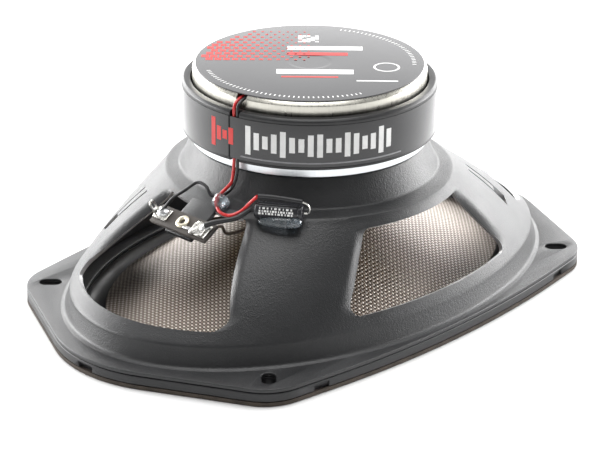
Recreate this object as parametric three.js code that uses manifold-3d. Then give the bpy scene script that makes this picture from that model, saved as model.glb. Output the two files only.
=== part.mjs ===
// Coaxial oval car speaker, 6 x 9 inch class, lying on its front gasket.
// Millimetres. Z = 0 is the front face of the gasket, +Z points to the rear of the magnet,
// X is the long axis of the oval, and the sound comes out towards -Z.

import * as THREE from 'three';
import { mergeVertices } from 'three/addons/utils/BufferGeometryUtils.js';
import Module from 'manifold-3d';

const wasm = await Module();
wasm.setup();

// ---------------------------------------------------------------- driving dimensions

const gap = 0.2; // clearance between pieces that are stacked or seated on each other
const overshoot = 1; // how far a cutter runs past the face that it cuts
const nearAxis = 1e-6; // stands in for a radius of nought where a ratio is taken

// flange outline: two end arcs, four ears and two long sides
const flangeLength = 242;
const flangeWidth = 159;
const flangeEndRadius = 52;
const flangeSideRadius = 430;
const earRadius = 20;
const earInsetX = 42.5;
const earInsetY = 27.3;
const earX = flangeLength / 2 - earInsetX;
const earY = flangeWidth / 2 - earInsetY;

// four slotted screw holes, each slot along its ear's diagonal
const holeOutX = 6.5; // from the ear's centre towards its tip
const holeOutY = 8.6;
const holeX = earX + holeOutX;
const holeY = earY + holeOutY;
const holeWidth = 5.5;
const holeSlotLength = 9;

// front stack: gasket, plastic trim ring, basket flange
const gasketThickness = 1.6;
const trimThickness = 3.5;
const flangeThickness = 1.5;
const trimZ = gasketThickness + gap;
const flangeZ = trimZ + trimThickness + gap;
const flangeTop = flangeZ + flangeThickness;

// motor discs and the fits that follow from them
const frontPlateRadius = 47;
const frontPlateThickness = 5;
const plateSeatRadius = frontPlateRadius - 0.5;
const magnetRadius = frontPlateRadius - 1.2;
const magnetThickness = 18.3;
const backPlateRadius = frontPlateRadius - 0.8;
const backPlateThickness = 6;
const backPlateBevel = 1.2;

// voice coil and the bores that it runs in
const formerRadius = 16;
const formerThickness = 0.3;
const windingThickness = 0.8;
const windingHeight = 10;
const coilClearance = 0.6;
const poleRadius = formerRadius - coilClearance;
const poleBore = 4.3;
const magnetHole = formerRadius + 6;
const bellRadius = formerRadius + 5;

// basket body: an oval wall, a loft to a round spider ledge, a neck and a mounting plate
const sheet = 2;
const endRim = 9.2; // from the wall out to the flange's edge
const sideRim = 3.2;
const wallLength = flangeLength - 2 * endRim;
const wallWidth = flangeWidth - 2 * sideRim;
const wallDraft = 1.8;
const wallHeight = 8.5;
const neckFlare = 5;
const ledgeWidth = 5.5;
const neckRadius = plateSeatRadius + neckFlare;
const ledgeRadius = neckRadius + ledgeWidth;
const ledgeRise = 44.2;
const neckRise = 1.3;
const plateSeatRise = 11;
const bodyBulge = 0.06;
const wallTop = flangeTop + wallHeight;
const ledgeZ = flangeTop + ledgeRise;
const neckZ = ledgeZ + neckRise;
const plateSeatZ = neckZ + plateSeatRise;
const frontPlateZ = plateSeatZ + gap;
const magnetZ = frontPlateZ + frontPlateThickness + gap;
const backPlateZ = magnetZ + magnetThickness + gap;
const rearFace = backPlateZ + backPlateThickness;
const windingZ = frontPlateZ + (frontPlateThickness - windingHeight) / 2;

// windows, seen square on: a wide foot and a narrow head, with rounded corners
const windowFootRise = 12.6;
const endWindowDrop = 1.6;
const sideWindowDrop = 4.2;
const endWindowFoot = 80;
const endWindowHead = 43;
const sideWindowFoot = 90;
const sideWindowHead = 54;
const windowFootRadius = 3;
const windowHeadRadius = 3.5;

// lanced slots on two of the four spokes, each with a tongue left standing
const lanceAngle = 35;
const lanceInset = 8.5;
const lanceLength = 17;
const lanceWidth = 6.2;
const tongueWidth = 3.6;
const tongueLength = 11.5;

// rubber boot around the magnet, its printed wrap and the round rear label
const bootWall = 3.5;
const bootRadius = frontPlateRadius + bootWall;
const bootChamfer = 0.9;
const bootOverhang = 0.8; // past the magnet's two ends
const bootZ = frontPlateZ + frontPlateThickness - bootOverhang;
const bootTop = backPlateZ + bootOverhang;
const wrapThickness = 0.25;
const wrapMargin = 1.2;
const wrapSeam = 0.8;
const labelRadius = backPlateRadius - 1.2;
const labelThickness = 0.4;

// cone, surround and spider
const surroundThickness = 0.7;
const surroundPlay = 0.3;
const surroundLength = wallLength - 2 * surroundPlay;
const surroundWidth = wallWidth - 2 * surroundPlay;
const surroundLipWidth = 6.5;
const surroundRollWidth = 9;
const surroundDepth = 3.4;
const coneLength = surroundLength - 2 * (surroundLipWidth + surroundRollWidth);
const coneWidth = surroundWidth - 2 * (surroundLipWidth + surroundRollWidth);
const coneThickness = 0.8;
const coneEdgeZ = flangeZ;
const coneNeckDrop = 10.2;
const coneNeckZ = ledgeZ - coneNeckDrop;
const coneCurve = 1.12;
const spiderThickness = 0.5;
const spiderLip = 6.4;
const spiderRipple = 1.1;
const spiderRipples = 4;

// tweeter on its post
const postRadius = 6.5;
const postThreadRadius = 4;
const postBore = 2.6;
const podRadius = 21;
const podDepth = 15;
const podFrontZ = 1.2;
const podWall = 1.6;
const tweeterCupRadius = 13.5;
const tweeterCupHeight = 8;
const tweeterCupWall = 2;
const tweeterMagnetRadius = 8;
const tweeterMagnetThickness = 3.2;
const domeRadius = 6.4;
const domeRise = 2.2;
const domeThickness = 0.3;
const nutAcrossFlats = 12;
const nutThickness = 3.2;
const nutPocketRadius = 8;
const nutPocketDepth = 6;

// terminal board on the basket's tab, over one end window
const boardLength = 29.8;
const boardWidth = 8.6;
const boardThickness = 1.6;
const boardReach = 12.6; // from the ledge's rim out to the board's middle
const boardDrop = 4.95; // from the ledge down to the board's face
const boardTilt = 30; // it lies along the body's slope
const boardX = -(ledgeRadius + boardReach);
const boardZ = ledgeZ - boardDrop;
const bracketWidth = 14;
const eyeletRadius = 2.9;
const eyeletBore = 1.3;
const tabThickness = 0.8;

// crossover capacitor and the tweeter's wires
const capacitorRadius = 3.4;
const capacitorLength = 18.6;
const capacitorAngle = 212.5;
const capacitorRadial = ledgeRadius + 2;
const wireRadius = 0.65;
const jumperRadius = 1;
const wireAngle = 189;
const wireGrooveWidth = 4.4;
const wireGrooveDepth = 2.4;

// ---------------------------------------------------------------- geometry helpers

const radians = THREE.MathUtils.degToRad;
const ovalSegments = 56;

function polar(radius, degrees, z) {
  const angle = radians(degrees);
  return new THREE.Vector3(radius * Math.cos(angle), radius * Math.sin(angle), z);
}

function toSolid(geometry) {
  const bare = geometry.clone();
  for (const name of ['normal', 'uv']) bare.deleteAttribute(name);
  const merged = mergeVertices(bare, 1e-4);
  return new wasm.Manifold(new wasm.Mesh({
    numProp: 3,
    vertProperties: new Float32Array(merged.getAttribute('position').array),
    triVerts: new Uint32Array(merged.getIndex().array),
  }));
}

function toGeometry(solid) {
  const mesh = solid.getMesh();
  const geometry = new THREE.BufferGeometry();
  geometry.setAttribute('position', new THREE.BufferAttribute(mesh.vertProperties, 3));
  geometry.setIndex(new THREE.BufferAttribute(mesh.triVerts, 1));
  geometry.computeVertexNormals();
  return geometry;
}

function join(base, ...others) {
  return toGeometry(others.reduce((solid, other) => solid.add(toSolid(other)), toSolid(base)));
}

function cut(base, ...cutters) {
  return toGeometry(cutters.reduce((solid, cutter) => solid.subtract(toSolid(cutter)), toSolid(base)));
}

// A closed profile of [radius, z] points, counter-clockwise, turned about Z.
function turned(profile, segments = 48) {
  const points = profile.map(([radius, z]) => new THREE.Vector2(radius, z));
  if (profile[0][0] > 0) points.push(points[0].clone());
  return new THREE.LatheGeometry(points, segments).rotateX(Math.PI / 2);
}

// The same, with its own half length a and half width b at every height z.
function ovalTurned(profile) {
  const closed = [...profile, profile[0]];
  const points = closed.map(({ a, z }) => new THREE.Vector2(a, z));
  const geometry = new THREE.LatheGeometry(points, ovalSegments);
  const position = geometry.getAttribute('position');
  for (let i = 0; i < position.count; i += 1) {
    const { a, b } = closed[i % closed.length];
    position.setZ(i, position.getZ(i) * b / a);
  }
  return geometry.rotateX(Math.PI / 2);
}

function disc(radius, z, height, segments = 48) {
  return turned([[0, z], [radius, z], [radius, z + height], [0, z + height]], segments);
}

function ring(inner, outer, z, height, segments = 48) {
  return turned([[inner, z], [outer, z], [outer, z + height], [inner, z + height]], segments);
}

// The outline of a belt pulled round circles {x, y, radius}, listed counter-clockwise.
function beltOutline(circles) {
  const outline = new THREE.Shape();
  const normals = circles.map((circle, i) => {
    const next = circles[(i + 1) % circles.length];
    const run = new THREE.Vector2(next.x - circle.x, next.y - circle.y);
    const lean = Math.acos((circle.radius - next.radius) / run.length());
    return run.angle() - lean;
  });
  circles.forEach(({ x, y, radius }, i) => {
    const before = normals[(i + circles.length - 1) % circles.length];
    outline.absarc(x, y, radius, before, normals[i], false);
  });
  outline.closePath();
  return outline;
}

function extrude(outline, depth, curveSegments = 6) {
  return new THREE.ExtrudeGeometry(outline, { depth, bevelEnabled: false, curveSegments });
}

function box(width, length, height, x, y, z) {
  return new THREE.BoxGeometry(width, length, height).translate(x, y, z);
}

// A round wire or lead through its points.
function tube(points, radius, steps, sides = 8) {
  const section = new THREE.Shape();
  for (let i = 0; i < sides; i += 1) {
    const angle = 2 * Math.PI * i / sides;
    section[i ? 'lineTo' : 'moveTo'](radius * Math.cos(angle), radius * Math.sin(angle));
  }
  section.closePath();
  const extrudePath = new THREE.CatmullRomCurve3(points, false, 'centripetal');
  return new THREE.ExtrudeGeometry(section, { steps, extrudePath, curveSegments: 1 });
}

function mirroredFour(make) {
  return [[1, 1], [-1, 1], [-1, -1], [1, -1]].map(([sx, sy]) => make(sx, sy));
}

// ---------------------------------------------------------------- flange and front rings

function flangeOutline() {
  const end = flangeLength / 2 - flangeEndRadius;
  const side = flangeWidth / 2 - flangeSideRadius;
  return beltOutline([
    { x: end, y: 0, radius: flangeEndRadius },
    { x: earX, y: earY, radius: earRadius },
    { x: 0, y: side, radius: flangeSideRadius },
    { x: -earX, y: earY, radius: earRadius },
    { x: -end, y: 0, radius: flangeEndRadius },
    { x: -earX, y: -earY, radius: earRadius },
    { x: 0, y: -side, radius: flangeSideRadius },
    { x: earX, y: -earY, radius: earRadius },
  ]);
}

function round(radius, z) {
  return { a: radius, b: radius, z };
}

function ovalPlug(a, b, z, height) {
  const top = z + height;
  return ovalTurned([round(nearAxis, z), { a, b, z }, { a, b, z: top }, round(nearAxis, top)]);
}

function slotHole(sx, sy) {
  const reach = (holeSlotLength - holeWidth) / 2 * Math.SQRT1_2;
  const radius = holeWidth / 2;
  const lean = Math.atan2(sy, sx);
  const hole = new THREE.Path();
  const [x, y] = [sx * holeX, sy * holeY];
  hole.absarc(x + sx * reach, y + sy * reach, radius, lean - Math.PI / 2, lean + Math.PI / 2, false);
  hole.absarc(x - sx * reach, y - sy * reach, radius, lean + Math.PI / 2, lean + Math.PI * 1.5, false);
  hole.closePath();
  return hole;
}

function flangePlate(z, thickness, halfLength, halfWidth) {
  const outline = flangeOutline();
  outline.holes.push(...mirroredFour(slotHole));
  const plate = extrude(outline, thickness, 4).translate(0, 0, z);
  return cut(plate, ovalPlug(halfLength, halfWidth, z - overshoot, thickness + 2 * overshoot));
}

const openingA = surroundLength / 2 + 0.9;
const openingB = surroundWidth / 2 + 0.9;

function frontGasket() {
  return flangePlate(0, gasketThickness, openingA, openingB);
}

// Clip notches: one at each end and two along each long side.
function trimRing() {
  const notchDepth = 1.5;
  const notchX = earX - 8.2;
  const notchY = flangeWidth / 2 - 5.2;
  const height = trimThickness - 1;
  const middle = trimZ + height / 2 - overshoot / 2;
  const notches = [1, -1].map((sx) => box(
    2 * notchDepth, 7.6, height + overshoot, sx * flangeLength / 2, 0, middle));
  notches.push(...mirroredFour((sx, sy) => box(
    7, 2 * notchDepth, height + overshoot, 0, 0, middle)
    .rotateZ(-sx * sy * radians(11)).translate(sx * notchX, sy * notchY, 0)));
  return cut(flangePlate(trimZ, trimThickness, openingA, openingB), ...notches);
}

// ---------------------------------------------------------------- basket

const wallA = wallLength / 2;
const wallB = wallWidth / 2;
const landing = 7;

// The outer face between the ledge (t = 0) and the top of the wall (t = 1).
function bodyPoint(t, inward = 0) {
  const spread = t + bodyBulge * Math.sin(Math.PI * t);
  const a = ledgeRadius + (wallA - wallDraft - ledgeRadius) * spread;
  const b = ledgeRadius + (wallB - wallDraft - ledgeRadius) * spread;
  const z = ledgeZ + (wallTop - ledgeZ) * t;
  return { a: a - 0.8 * inward, b: b - 0.8 * inward, z: z - 0.7 * inward };
}

function basketShell() {
  const steps = [1, 0.86, 0.66, 0.42, 0.2, 0];
  const outer = steps.map((t) => bodyPoint(t));
  const inner = steps.slice(1).map((t) => bodyPoint(t, sheet)).reverse();
  return ovalTurned([
    { a: wallA, b: wallB, z: flangeZ },
    { a: wallA, b: wallB, z: flangeTop + 1.2 },
    ...outer,
    round(neckRadius, neckZ),
    round(plateSeatRadius, plateSeatZ),
    round(bellRadius, plateSeatZ),
    round(bellRadius, plateSeatZ - sheet),
    round(plateSeatRadius - sheet, plateSeatZ - sheet),
    round(neckRadius - sheet, neckZ - sheet),
    ...inner,
    { a: wallA - wallDraft - sheet, b: wallB - wallDraft - sheet, z: wallTop - sheet },
    { a: wallA - sheet, b: wallB - sheet, z: flangeZ },
  ]);
}

// A window's outline as [across, up], as a belt round its four corner circles.
function windowOutline(foot, head, drop) {
  const bottom = flangeTop + windowFootRise + windowFootRadius;
  const top = ledgeZ - drop - windowHeadRadius;
  const footX = foot / 2 - windowFootRadius * 1.25;
  const headX = head / 2 - windowHeadRadius * 0.75;
  return beltOutline([
    { x: headX, y: top, radius: windowHeadRadius },
    { x: -headX, y: top, radius: windowHeadRadius },
    { x: -footX, y: bottom, radius: windowFootRadius },
    { x: footX, y: bottom, radius: windowFootRadius },
  ]);
}

// Cuts start at the ledge, well outside the neck, and run out past the wall.
function windowCutters() {
  const reach = wallLength / 2 - neckRadius * 0.6;
  return [0, 90, 180, 270].map((turn) => {
    const atEnd = turn % 180 === 0;
    const outline = atEnd
      ? windowOutline(endWindowFoot, endWindowHead, endWindowDrop)
      : windowOutline(sideWindowFoot, sideWindowHead, sideWindowDrop);
    return extrude(outline, reach, 3)
      .rotateX(Math.PI / 2)
      .rotateZ(Math.PI / 2)
      .translate(neckRadius * 0.6, 0, 0)
      .rotateZ(radians(turn));
  });
}

// A slot with a tongue left standing in it, cut straight down through a spoke.
function lanceCutter(degrees) {
  const inner = ledgeRadius + lanceInset;
  const height = ledgeZ - wallTop;
  const z = wallTop + height / 2;
  const slot = box(lanceLength, lanceWidth, height, inner + lanceLength / 2, 0, z);
  const tongue = box(lanceLength, tongueWidth, height + overshoot,
    inner + tongueLength - lanceLength / 2, 0, z);
  return cut(slot, tongue).rotateZ(radians(degrees));
}

// The tab that carries the terminal board: it drops from the ring and turns outwards.
function terminalBracket() {
  const face = -boardThickness - gap;
  const root = boardReach / Math.cos(radians(boardTilt)) - 1.6;
  const tip = -(boardWidth / 2) - 0.6;
  const strip = box(root - tip, bracketWidth, sheet, (root + tip) / 2, 0, face - sheet / 2);
  const hole = disc(eyeletBore + 0.7, face - sheet - overshoot, sheet + 2 * overshoot, 16);
  return ontoBoard(cut(strip, hole));
}

const rivetCircle = (bellRadius + plateSeatRadius) / 2;
const rivetShank = 2;
const rivetAngles = [45, 135, 225, 315];

function basket() {
  const lances = [-lanceAngle, 180 - lanceAngle].map(lanceCutter);
  const shell = cut(basketShell(), ...windowCutters(), ...lances);
  const plate = flangePlate(flangeZ, flangeThickness, wallA - landing, wallB - landing);
  const rivetHoles = rivetAngles.map((degrees) => {
    const at = polar(rivetCircle, degrees, plateSeatZ - sheet - overshoot);
    return disc(rivetShank + 0.1, 0, sheet + 2 * overshoot, 12).translate(at.x, at.y, at.z);
  });
  return cut(join(shell, plate, terminalBracket()), ...rivetHoles);
}

function plateRivet(degrees) {
  const headHeight = 1.2;
  const under = plateSeatZ - sheet - gap;
  const at = polar(rivetCircle, degrees, 0);
  return turned([
    [0, under - headHeight], [rivetShank, under - headHeight], [rivetShank * 1.8, under - 0.4],
    [rivetShank * 1.8, under], [rivetShank, under], [rivetShank, frontPlateZ + 2.4], [0, frontPlateZ + 2.4],
  ], 12).translate(at.x, at.y, 0);
}

// ---------------------------------------------------------------- motor

function frontPlate() {
  const inner = formerRadius + formerThickness + windingThickness + coilClearance;
  const edge = 0.6;
  const top = frontPlateZ + frontPlateThickness;
  const plate = turned([
    [inner, frontPlateZ], [frontPlateRadius - edge, frontPlateZ], [frontPlateRadius, frontPlateZ + edge],
    [frontPlateRadius, top - edge], [frontPlateRadius - edge, top], [inner, top],
  ]);
  const sockets = rivetAngles.map((degrees) => {
    const at = polar(rivetCircle, degrees, frontPlateZ - overshoot);
    return disc(rivetShank + 0.1, 0, 2.6 + overshoot, 12).translate(at.x, at.y, at.z);
  });
  return cut(plate, ...sockets);
}

function ringMagnet() {
  return ring(magnetHole, magnetRadius, magnetZ, magnetThickness);
}

// The radial groove in the rear face takes the tweeter's wires out to the rim.
function yoke() {
  const bevel = backPlateBevel;
  const body = turned([
    [poleBore, frontPlateZ], [poleRadius - 0.5, frontPlateZ], [poleRadius, frontPlateZ + 0.5],
    [poleRadius, backPlateZ], [backPlateRadius, backPlateZ],
    [backPlateRadius, rearFace - bevel], [backPlateRadius - bevel, rearFace],
    [nutPocketRadius, rearFace], [nutPocketRadius, rearFace - nutPocketDepth],
    [poleBore, rearFace - nutPocketDepth],
  ]);
  const length = backPlateRadius + overshoot;
  const groove = box(length, wireGrooveWidth, wireGrooveDepth + overshoot,
    length / 2, 0, rearFace + (overshoot - wireGrooveDepth) / 2);
  const notch = box(6, wireGrooveWidth, backPlateThickness + 2 * overshoot,
    backPlateRadius + 1, 0, rearFace - backPlateThickness / 2);
  return cut(body, groove.rotateZ(radians(wireAngle)), notch.rotateZ(radians(wireAngle)));
}

// A rubber ring round the magnet, with a shallow lip at its top and a channel for the wires.
function magnetBoot() {
  const top = bootTop;
  const seat = frontPlateRadius + gap;
  const inner = backPlateRadius + 0.8;
  const outer = bootRadius - wrapThickness - 0.1;
  const lip = bootRadius;
  const body = turned([
    [seat, bootZ], [lip - 0.4, bootZ], [lip, bootZ + 0.4], [lip, bootZ + wrapMargin],
    [outer, bootZ + wrapMargin], [outer, top - wrapMargin - bootChamfer],
    [lip, top - wrapMargin - bootChamfer], [lip, top - bootChamfer], [lip - bootChamfer, top],
    [inner, top], [inner, magnetZ], [seat, magnetZ],
  ]);
  const channel = box(4, wireGrooveWidth, top - bootZ + 2 * overshoot,
    outer - wireRadius * 2 - 0.6 + 2, 0, (bootZ + top) / 2);
  return cut(body, channel.rotateZ(radians(wireAngle)));
}

function bootWrap() {
  const inner = bootRadius - wrapThickness;
  const z = bootZ + wrapMargin + 0.1;
  const height = bootTop - bootZ - 2 * wrapMargin - bootChamfer - 0.2;
  const seam = box(4, wrapSeam, height + 2 * overshoot, bootRadius, 0, z + height / 2);
  return cut(ring(inner, bootRadius, z, height), seam.rotateZ(radians(wireAngle - 2.6)));
}

function rearLabel() {
  return disc(labelRadius, rearFace + 0.1, labelThickness);
}

// ---------------------------------------------------------------- moving woofer parts

function coneRow(t, lift) {
  const neck = formerRadius + formerThickness + 0.5;
  const shrink = 1 - t;
  const a = neck + (coneLength / 2 - neck) * shrink;
  const b = neck + (coneWidth / 2 - neck) * shrink;
  const z = coneEdgeZ + (coneNeckZ - coneEdgeZ) * t ** coneCurve;
  return { a, b, z: z + lift };
}

function cone() {
  const steps = [0, 0.3, 0.6, 0.82, 1];
  const collar = 3;
  const neck = formerRadius + formerThickness + 0.1;
  return ovalTurned([
    ...steps.map((t) => coneRow(t, coneThickness)),
    round(neck + 0.6, coneNeckZ + collar),
    round(neck, coneNeckZ + collar),
    round(neck, coneNeckZ - 0.4),
    ...steps.slice(0, -1).reverse().map((t) => coneRow(t, 0)),
  ]);
}

// Half-roll rubber edge: outer lip under the basket's landing, roll to the front, inner lip on the cone.
function surround() {
  const lipZ = flangeZ - gap - surroundThickness;
  const [a, b] = [surroundLength / 2, surroundWidth / 2];
  const rollHalf = (a - surroundLipWidth - coneLength / 2) / 2 + 0.1;
  const middle = surroundLipWidth + rollHalf;
  const half = surroundThickness / 2;
  const row = (inset, z) => ({ a: a - inset, b: b - inset, z });
  const roll = (grow, from, to) => [0, 1, 2, 3, 4].map((i) => {
    const angle = Math.PI * (from + (to - from) * i / 4);
    return row(middle - (rollHalf + grow) * Math.cos(angle), lipZ - (surroundDepth + grow) * Math.sin(angle));
  });
  const innerEnd = middle + rollHalf + 2;
  return ovalTurned([
    row(innerEnd, lipZ + surroundThickness),
    row(innerEnd, lipZ),
    ...roll(half, 1, 0),
    row(0, lipZ),
    row(0, lipZ + surroundThickness),
    ...roll(-half, 0, 1),
  ]);
}

// Corrugated cloth spider between the voice coil former and the underside of the ledge.
function spider() {
  const inner = formerRadius + formerThickness + 0.15;
  const outer = ledgeRadius - sheet * 0.8 - 0.6;
  const z = ledgeZ - sheet * 0.7 - gap - spiderThickness - 0.15;
  const waveStart = inner + 2;
  const waveEnd = outer - spiderLip;
  const crests = spiderRipples * 2;
  const wave = Array.from({ length: crests }, (_, i) => {
    const share = (i + 0.5) / crests;
    return [waveStart + (waveEnd - waveStart) * share, z + (i % 2 ? spiderRipple : -spiderRipple)];
  });
  const lower = [[inner, z], [waveStart, z], ...wave, [waveEnd, z], [outer, z]];
  const upper = lower.map(([radius, height]) => [radius, height + spiderThickness]).reverse();
  return turned([...lower, ...upper], 36);
}

function voiceCoilFormer() {
  const z = coneNeckZ - 1;
  return ring(formerRadius, formerRadius + formerThickness, z, windingZ + windingHeight + 0.5 - z, 40);
}

function voiceCoilWinding() {
  const inner = formerRadius + formerThickness + 0.05;
  return ring(inner, inner + windingThickness, windingZ, windingHeight, 40);
}

// The felt ring that closes the cone's centre round the tweeter's post.
function dustRing() {
  const inner = postRadius + 1.2;
  const outer = formerRadius - 0.4;
  const z = coneNeckZ - 0.6;
  return turned([[inner, z + 1], [outer, z], [outer, z + 1.5], [inner, z + 2.5]], 32);
}

// ---------------------------------------------------------------- tweeter

const podRearZ = podFrontZ + podDepth;
const threadTop = rearFace - wireGrooveDepth - 0.1;

function tweeterPost() {
  return turned([
    [postBore, podRearZ - podWall - 0.4], [postThreadRadius, podRearZ - podWall - 0.4],
    [postThreadRadius, podRearZ + gap], [postRadius, podRearZ + gap],
    [postRadius, frontPlateZ - gap], [postThreadRadius, frontPlateZ - gap],
    [postThreadRadius, threadTop], [postBore, threadTop],
  ], 24);
}

function postNut() {
  const outer = nutAcrossFlats / Math.sqrt(3);
  const z = rearFace - nutPocketDepth + gap;
  const hexagon = turned([[0, z], [outer, z], [outer, z + nutThickness], [0, z + nutThickness]], 6);
  return cut(hexagon, disc(postThreadRadius + 0.1, z - overshoot, nutThickness + 2 * overshoot, 24));
}

function tweeterPod() {
  const r = podRadius;
  const rear = podRearZ;
  return turned([
    [postThreadRadius + 0.15, rear - podWall], [r * 0.62, rear - podWall],
    [r - podWall - 1.5, rear - podWall - 4], [r - podWall, podFrontZ + 5], [r - podWall, podFrontZ + 1.4],
    [r - 0.6, podFrontZ + 1.4], [r, podFrontZ + 2], [r, podFrontZ + 5.5], [r - 1.6, rear - 4.4],
    [r * 0.66, rear], [postThreadRadius + 0.15, rear],
  ], 32);
}

const cupZ = podFrontZ + 4.6;

function tweeterCup() {
  const outer = tweeterCupRadius;
  const top = cupZ + tweeterCupHeight;
  const inner = outer - tweeterCupWall;
  return turned([
    [0, top - tweeterCupWall], [inner, top - tweeterCupWall], [inner, cupZ],
    [outer, cupZ], [outer, top], [0, top],
  ], 28);
}

function tweeterMagnet() {
  const z = cupZ + tweeterCupHeight - tweeterCupWall - 0.1 - tweeterMagnetThickness;
  return disc(tweeterMagnetRadius, z, tweeterMagnetThickness, 24);
}

function tweeterPolePlate() {
  const thickness = 2;
  const z = cupZ + tweeterCupHeight - tweeterCupWall - tweeterMagnetThickness - 0.2 - thickness;
  return disc(domeRadius - 0.6, z, thickness, 24);
}

const diaphragmZ = cupZ - 0.9;

// Dome with its rolled edge, facing the front.
function tweeterDome() {
  const z = diaphragmZ;
  const edge = domeRadius + 3;
  const arc = (rise, radius) => [0, 1, 2, 3].map((i) => {
    const angle = Math.PI / 2 * i / 3;
    return [radius * Math.sin(angle), z - rise * Math.cos(angle)];
  });
  const front = arc(domeRise, domeRadius);
  const back = arc(domeRise - domeThickness, domeRadius - domeThickness).reverse();
  return turned([
    ...front, [domeRadius + 1.4, z - 0.8], [edge, z], [edge, z + domeThickness],
    [domeRadius + 1.4, z - 0.8 + domeThickness], [domeRadius - 0.1, z + domeThickness],
    ...back,
  ], 24);
}

function tweeterCoil() {
  return ring(domeRadius - 0.35, domeRadius - 0.05, diaphragmZ + domeThickness + 0.05, 2.6, 24);
}

function tweeterSpacer() {
  return ring(domeRadius + 3.3, tweeterCupRadius, diaphragmZ - 0.4, 1.1, 28);
}

// Front ring and the cross bars that guard the dome.
function tweeterFace() {
  const outer = podRadius - podWall - 0.2;
  const z = podFrontZ;
  const face = turned([
    [domeRadius + 3.2, z + 0.6], [outer, z - 0.4], [outer, z + 1.3], [domeRadius + 4.8, z + 2.4],
    [domeRadius + 3.2, z + 2.4],
  ], 32);
  const bars = [0, 60, 120].map((degrees) => box(
    2 * domeRadius + 8, 1.2, 0.9, 0, 0, z + 0.45).rotateZ(radians(degrees)));
  return join(face, ...bars);
}

// ---------------------------------------------------------------- terminals

// The board's own frame: x across it, y along it and z off its face, tilted to the body's slope.
function ontoBoard(geometry) {
  return geometry.rotateY(-radians(boardTilt)).translate(boardX, 0, boardZ);
}

function onBoard(across, along, off) {
  const point = new THREE.Vector3(across, along, off);
  point.applyAxisAngle(new THREE.Vector3(0, 1, 0), -radians(boardTilt));
  return point.add(new THREE.Vector3(boardX, 0, boardZ));
}

function terminalBoard() {
  const board = box(boardWidth, boardLength, boardThickness, 0, 0, -boardThickness / 2);
  const hole = disc(eyeletBore + 0.7, -boardThickness - overshoot, boardThickness + 2 * overshoot, 16);
  return ontoBoard(cut(board, hole));
}

function terminalEyelet() {
  const under = -boardThickness - gap - sheet;
  const rim = 1.1;
  const shank = eyeletBore + 0.5;
  return ontoBoard(turned([
    [eyeletBore, under - 0.9], [shank + 0.7, under - 0.9], [shank + 0.7, under - 0.2],
    [shank, under - 0.2], [shank, 0.1], [eyeletRadius, 0.1], [eyeletRadius, rim], [eyeletBore, rim],
  ], 16));
}

const tabFoot = 0.1;
const stripEnd = boardLength / 2 - 0.5;

// A solder lug on the board with a narrow spade that stands up at the board's end.
function negativeTerminal() {
  const length = 7;
  const lug = box(5.4, length, tabThickness, 0, stripEnd - length / 2, tabFoot + tabThickness / 2);
  const spade = box(2.8, tabThickness, 6, 0, stripEnd, tabFoot + 3);
  const hole = box(1, 4 * tabThickness, 3, 0, stripEnd, tabFoot + 3.4);
  const curl = box(1.1, 3.4, 1.6, -2, stripEnd - 4.6, tabFoot + 0.8);
  return ontoBoard(cut(join(lug, spade, curl), hole));
}

// A broader lug with its own spade folded flat over it.
function positiveTerminal() {
  const length = 8;
  const lug = box(6.4, length, tabThickness, -0.4, length / 2 - stripEnd, tabFoot + tabThickness / 2);
  const fold = box(4.8, 6.5, tabThickness, -1.2, 4.4 - stripEnd, tabFoot + tabThickness * 1.5);
  return ontoBoard(join(lug, fold));
}

// ---------------------------------------------------------------- crossover and leads

function capacitorCentre() {
  return polar(capacitorRadial, capacitorAngle, ledgeZ - 0.3 + capacitorRadius);
}

// Turned along Z, then laid along the ledge, square to its radius.
function layOnLedge(geometry) {
  const at = capacitorCentre();
  return geometry.rotateX(Math.PI / 2).rotateZ(radians(capacitorAngle)).translate(at.x, at.y, at.z);
}

function capacitor() {
  const half = capacitorLength / 2;
  const r = capacitorRadius;
  return layOnLedge(turned([
    [0, -half], [r - 0.9, -half], [r, -half + 0.9], [r, half - 0.9], [r - 0.9, half], [0, half],
  ], 20));
}

// A run of glue between the capacitor and the body's shoulder.
function capacitorGlue(bare) {
  const at = polar(capacitorRadial + 2.6, capacitorAngle, ledgeZ - 0.6);
  const lump = new THREE.SphereGeometry(1, 16, 8).scale(3.2, capacitorLength * 0.46, 3.2);
  lump.rotateZ(radians(capacitorAngle)).translate(at.x, at.y, at.z);
  const lifted = bare.clone().translate(0, 0, 0.3);
  const clearance = layOnLedge(turned([
    [0, -capacitorLength], [capacitorRadius + 0.3, -capacitorLength],
    [capacitorRadius + 0.3, capacitorLength], [0, capacitorLength],
  ], 20));
  return cut(lump, bare, lifted, clearance);
}

// A point of the tweeter's pair, on the radius that holds its groove and channel.
function alongPair(radius, offset, z) {
  return polar(radius, wireAngle, z).add(polar(offset, wireAngle + 90, 0));
}

// Up the post, along the groove, over the rim, down the boot's channel and on to its own tail.
function tweeterWire(offset, tail, radius = wireRadius) {
  const at = (r, z) => alongPair(r, offset, z);
  const grooveZ = rearFace - wireGrooveDepth / 2 - 0.2;
  const channel = bootRadius - wrapThickness - wireRadius - 0.25;
  return tube([
    at(0, podRearZ - podWall),
    at(0, (podRearZ + rearFace) / 2),
    at(0, threadTop - 1.2),
    at(2.2, grooveZ + 0.1),
    at(backPlateRadius * 0.4, grooveZ),
    at(backPlateRadius * 0.8, grooveZ),
    at(backPlateRadius - 1.4, grooveZ),
    at(channel - 0.5, bootTop + 2),
    at(channel, bootTop - 4),
    at(channel, bootZ + 1),
    at(channel + 0.9, bootZ - 6),
    ...tail,
  ], radius, 52, 6);
}

// A point in the capacitor's own frame: along it, away from the neck, and up.
function onCapacitor(along, outward, up) {
  const at = capacitorCentre();
  return at.add(polar(along, capacitorAngle + 90, 0)).add(polar(outward, capacitorAngle, up));
}

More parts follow.
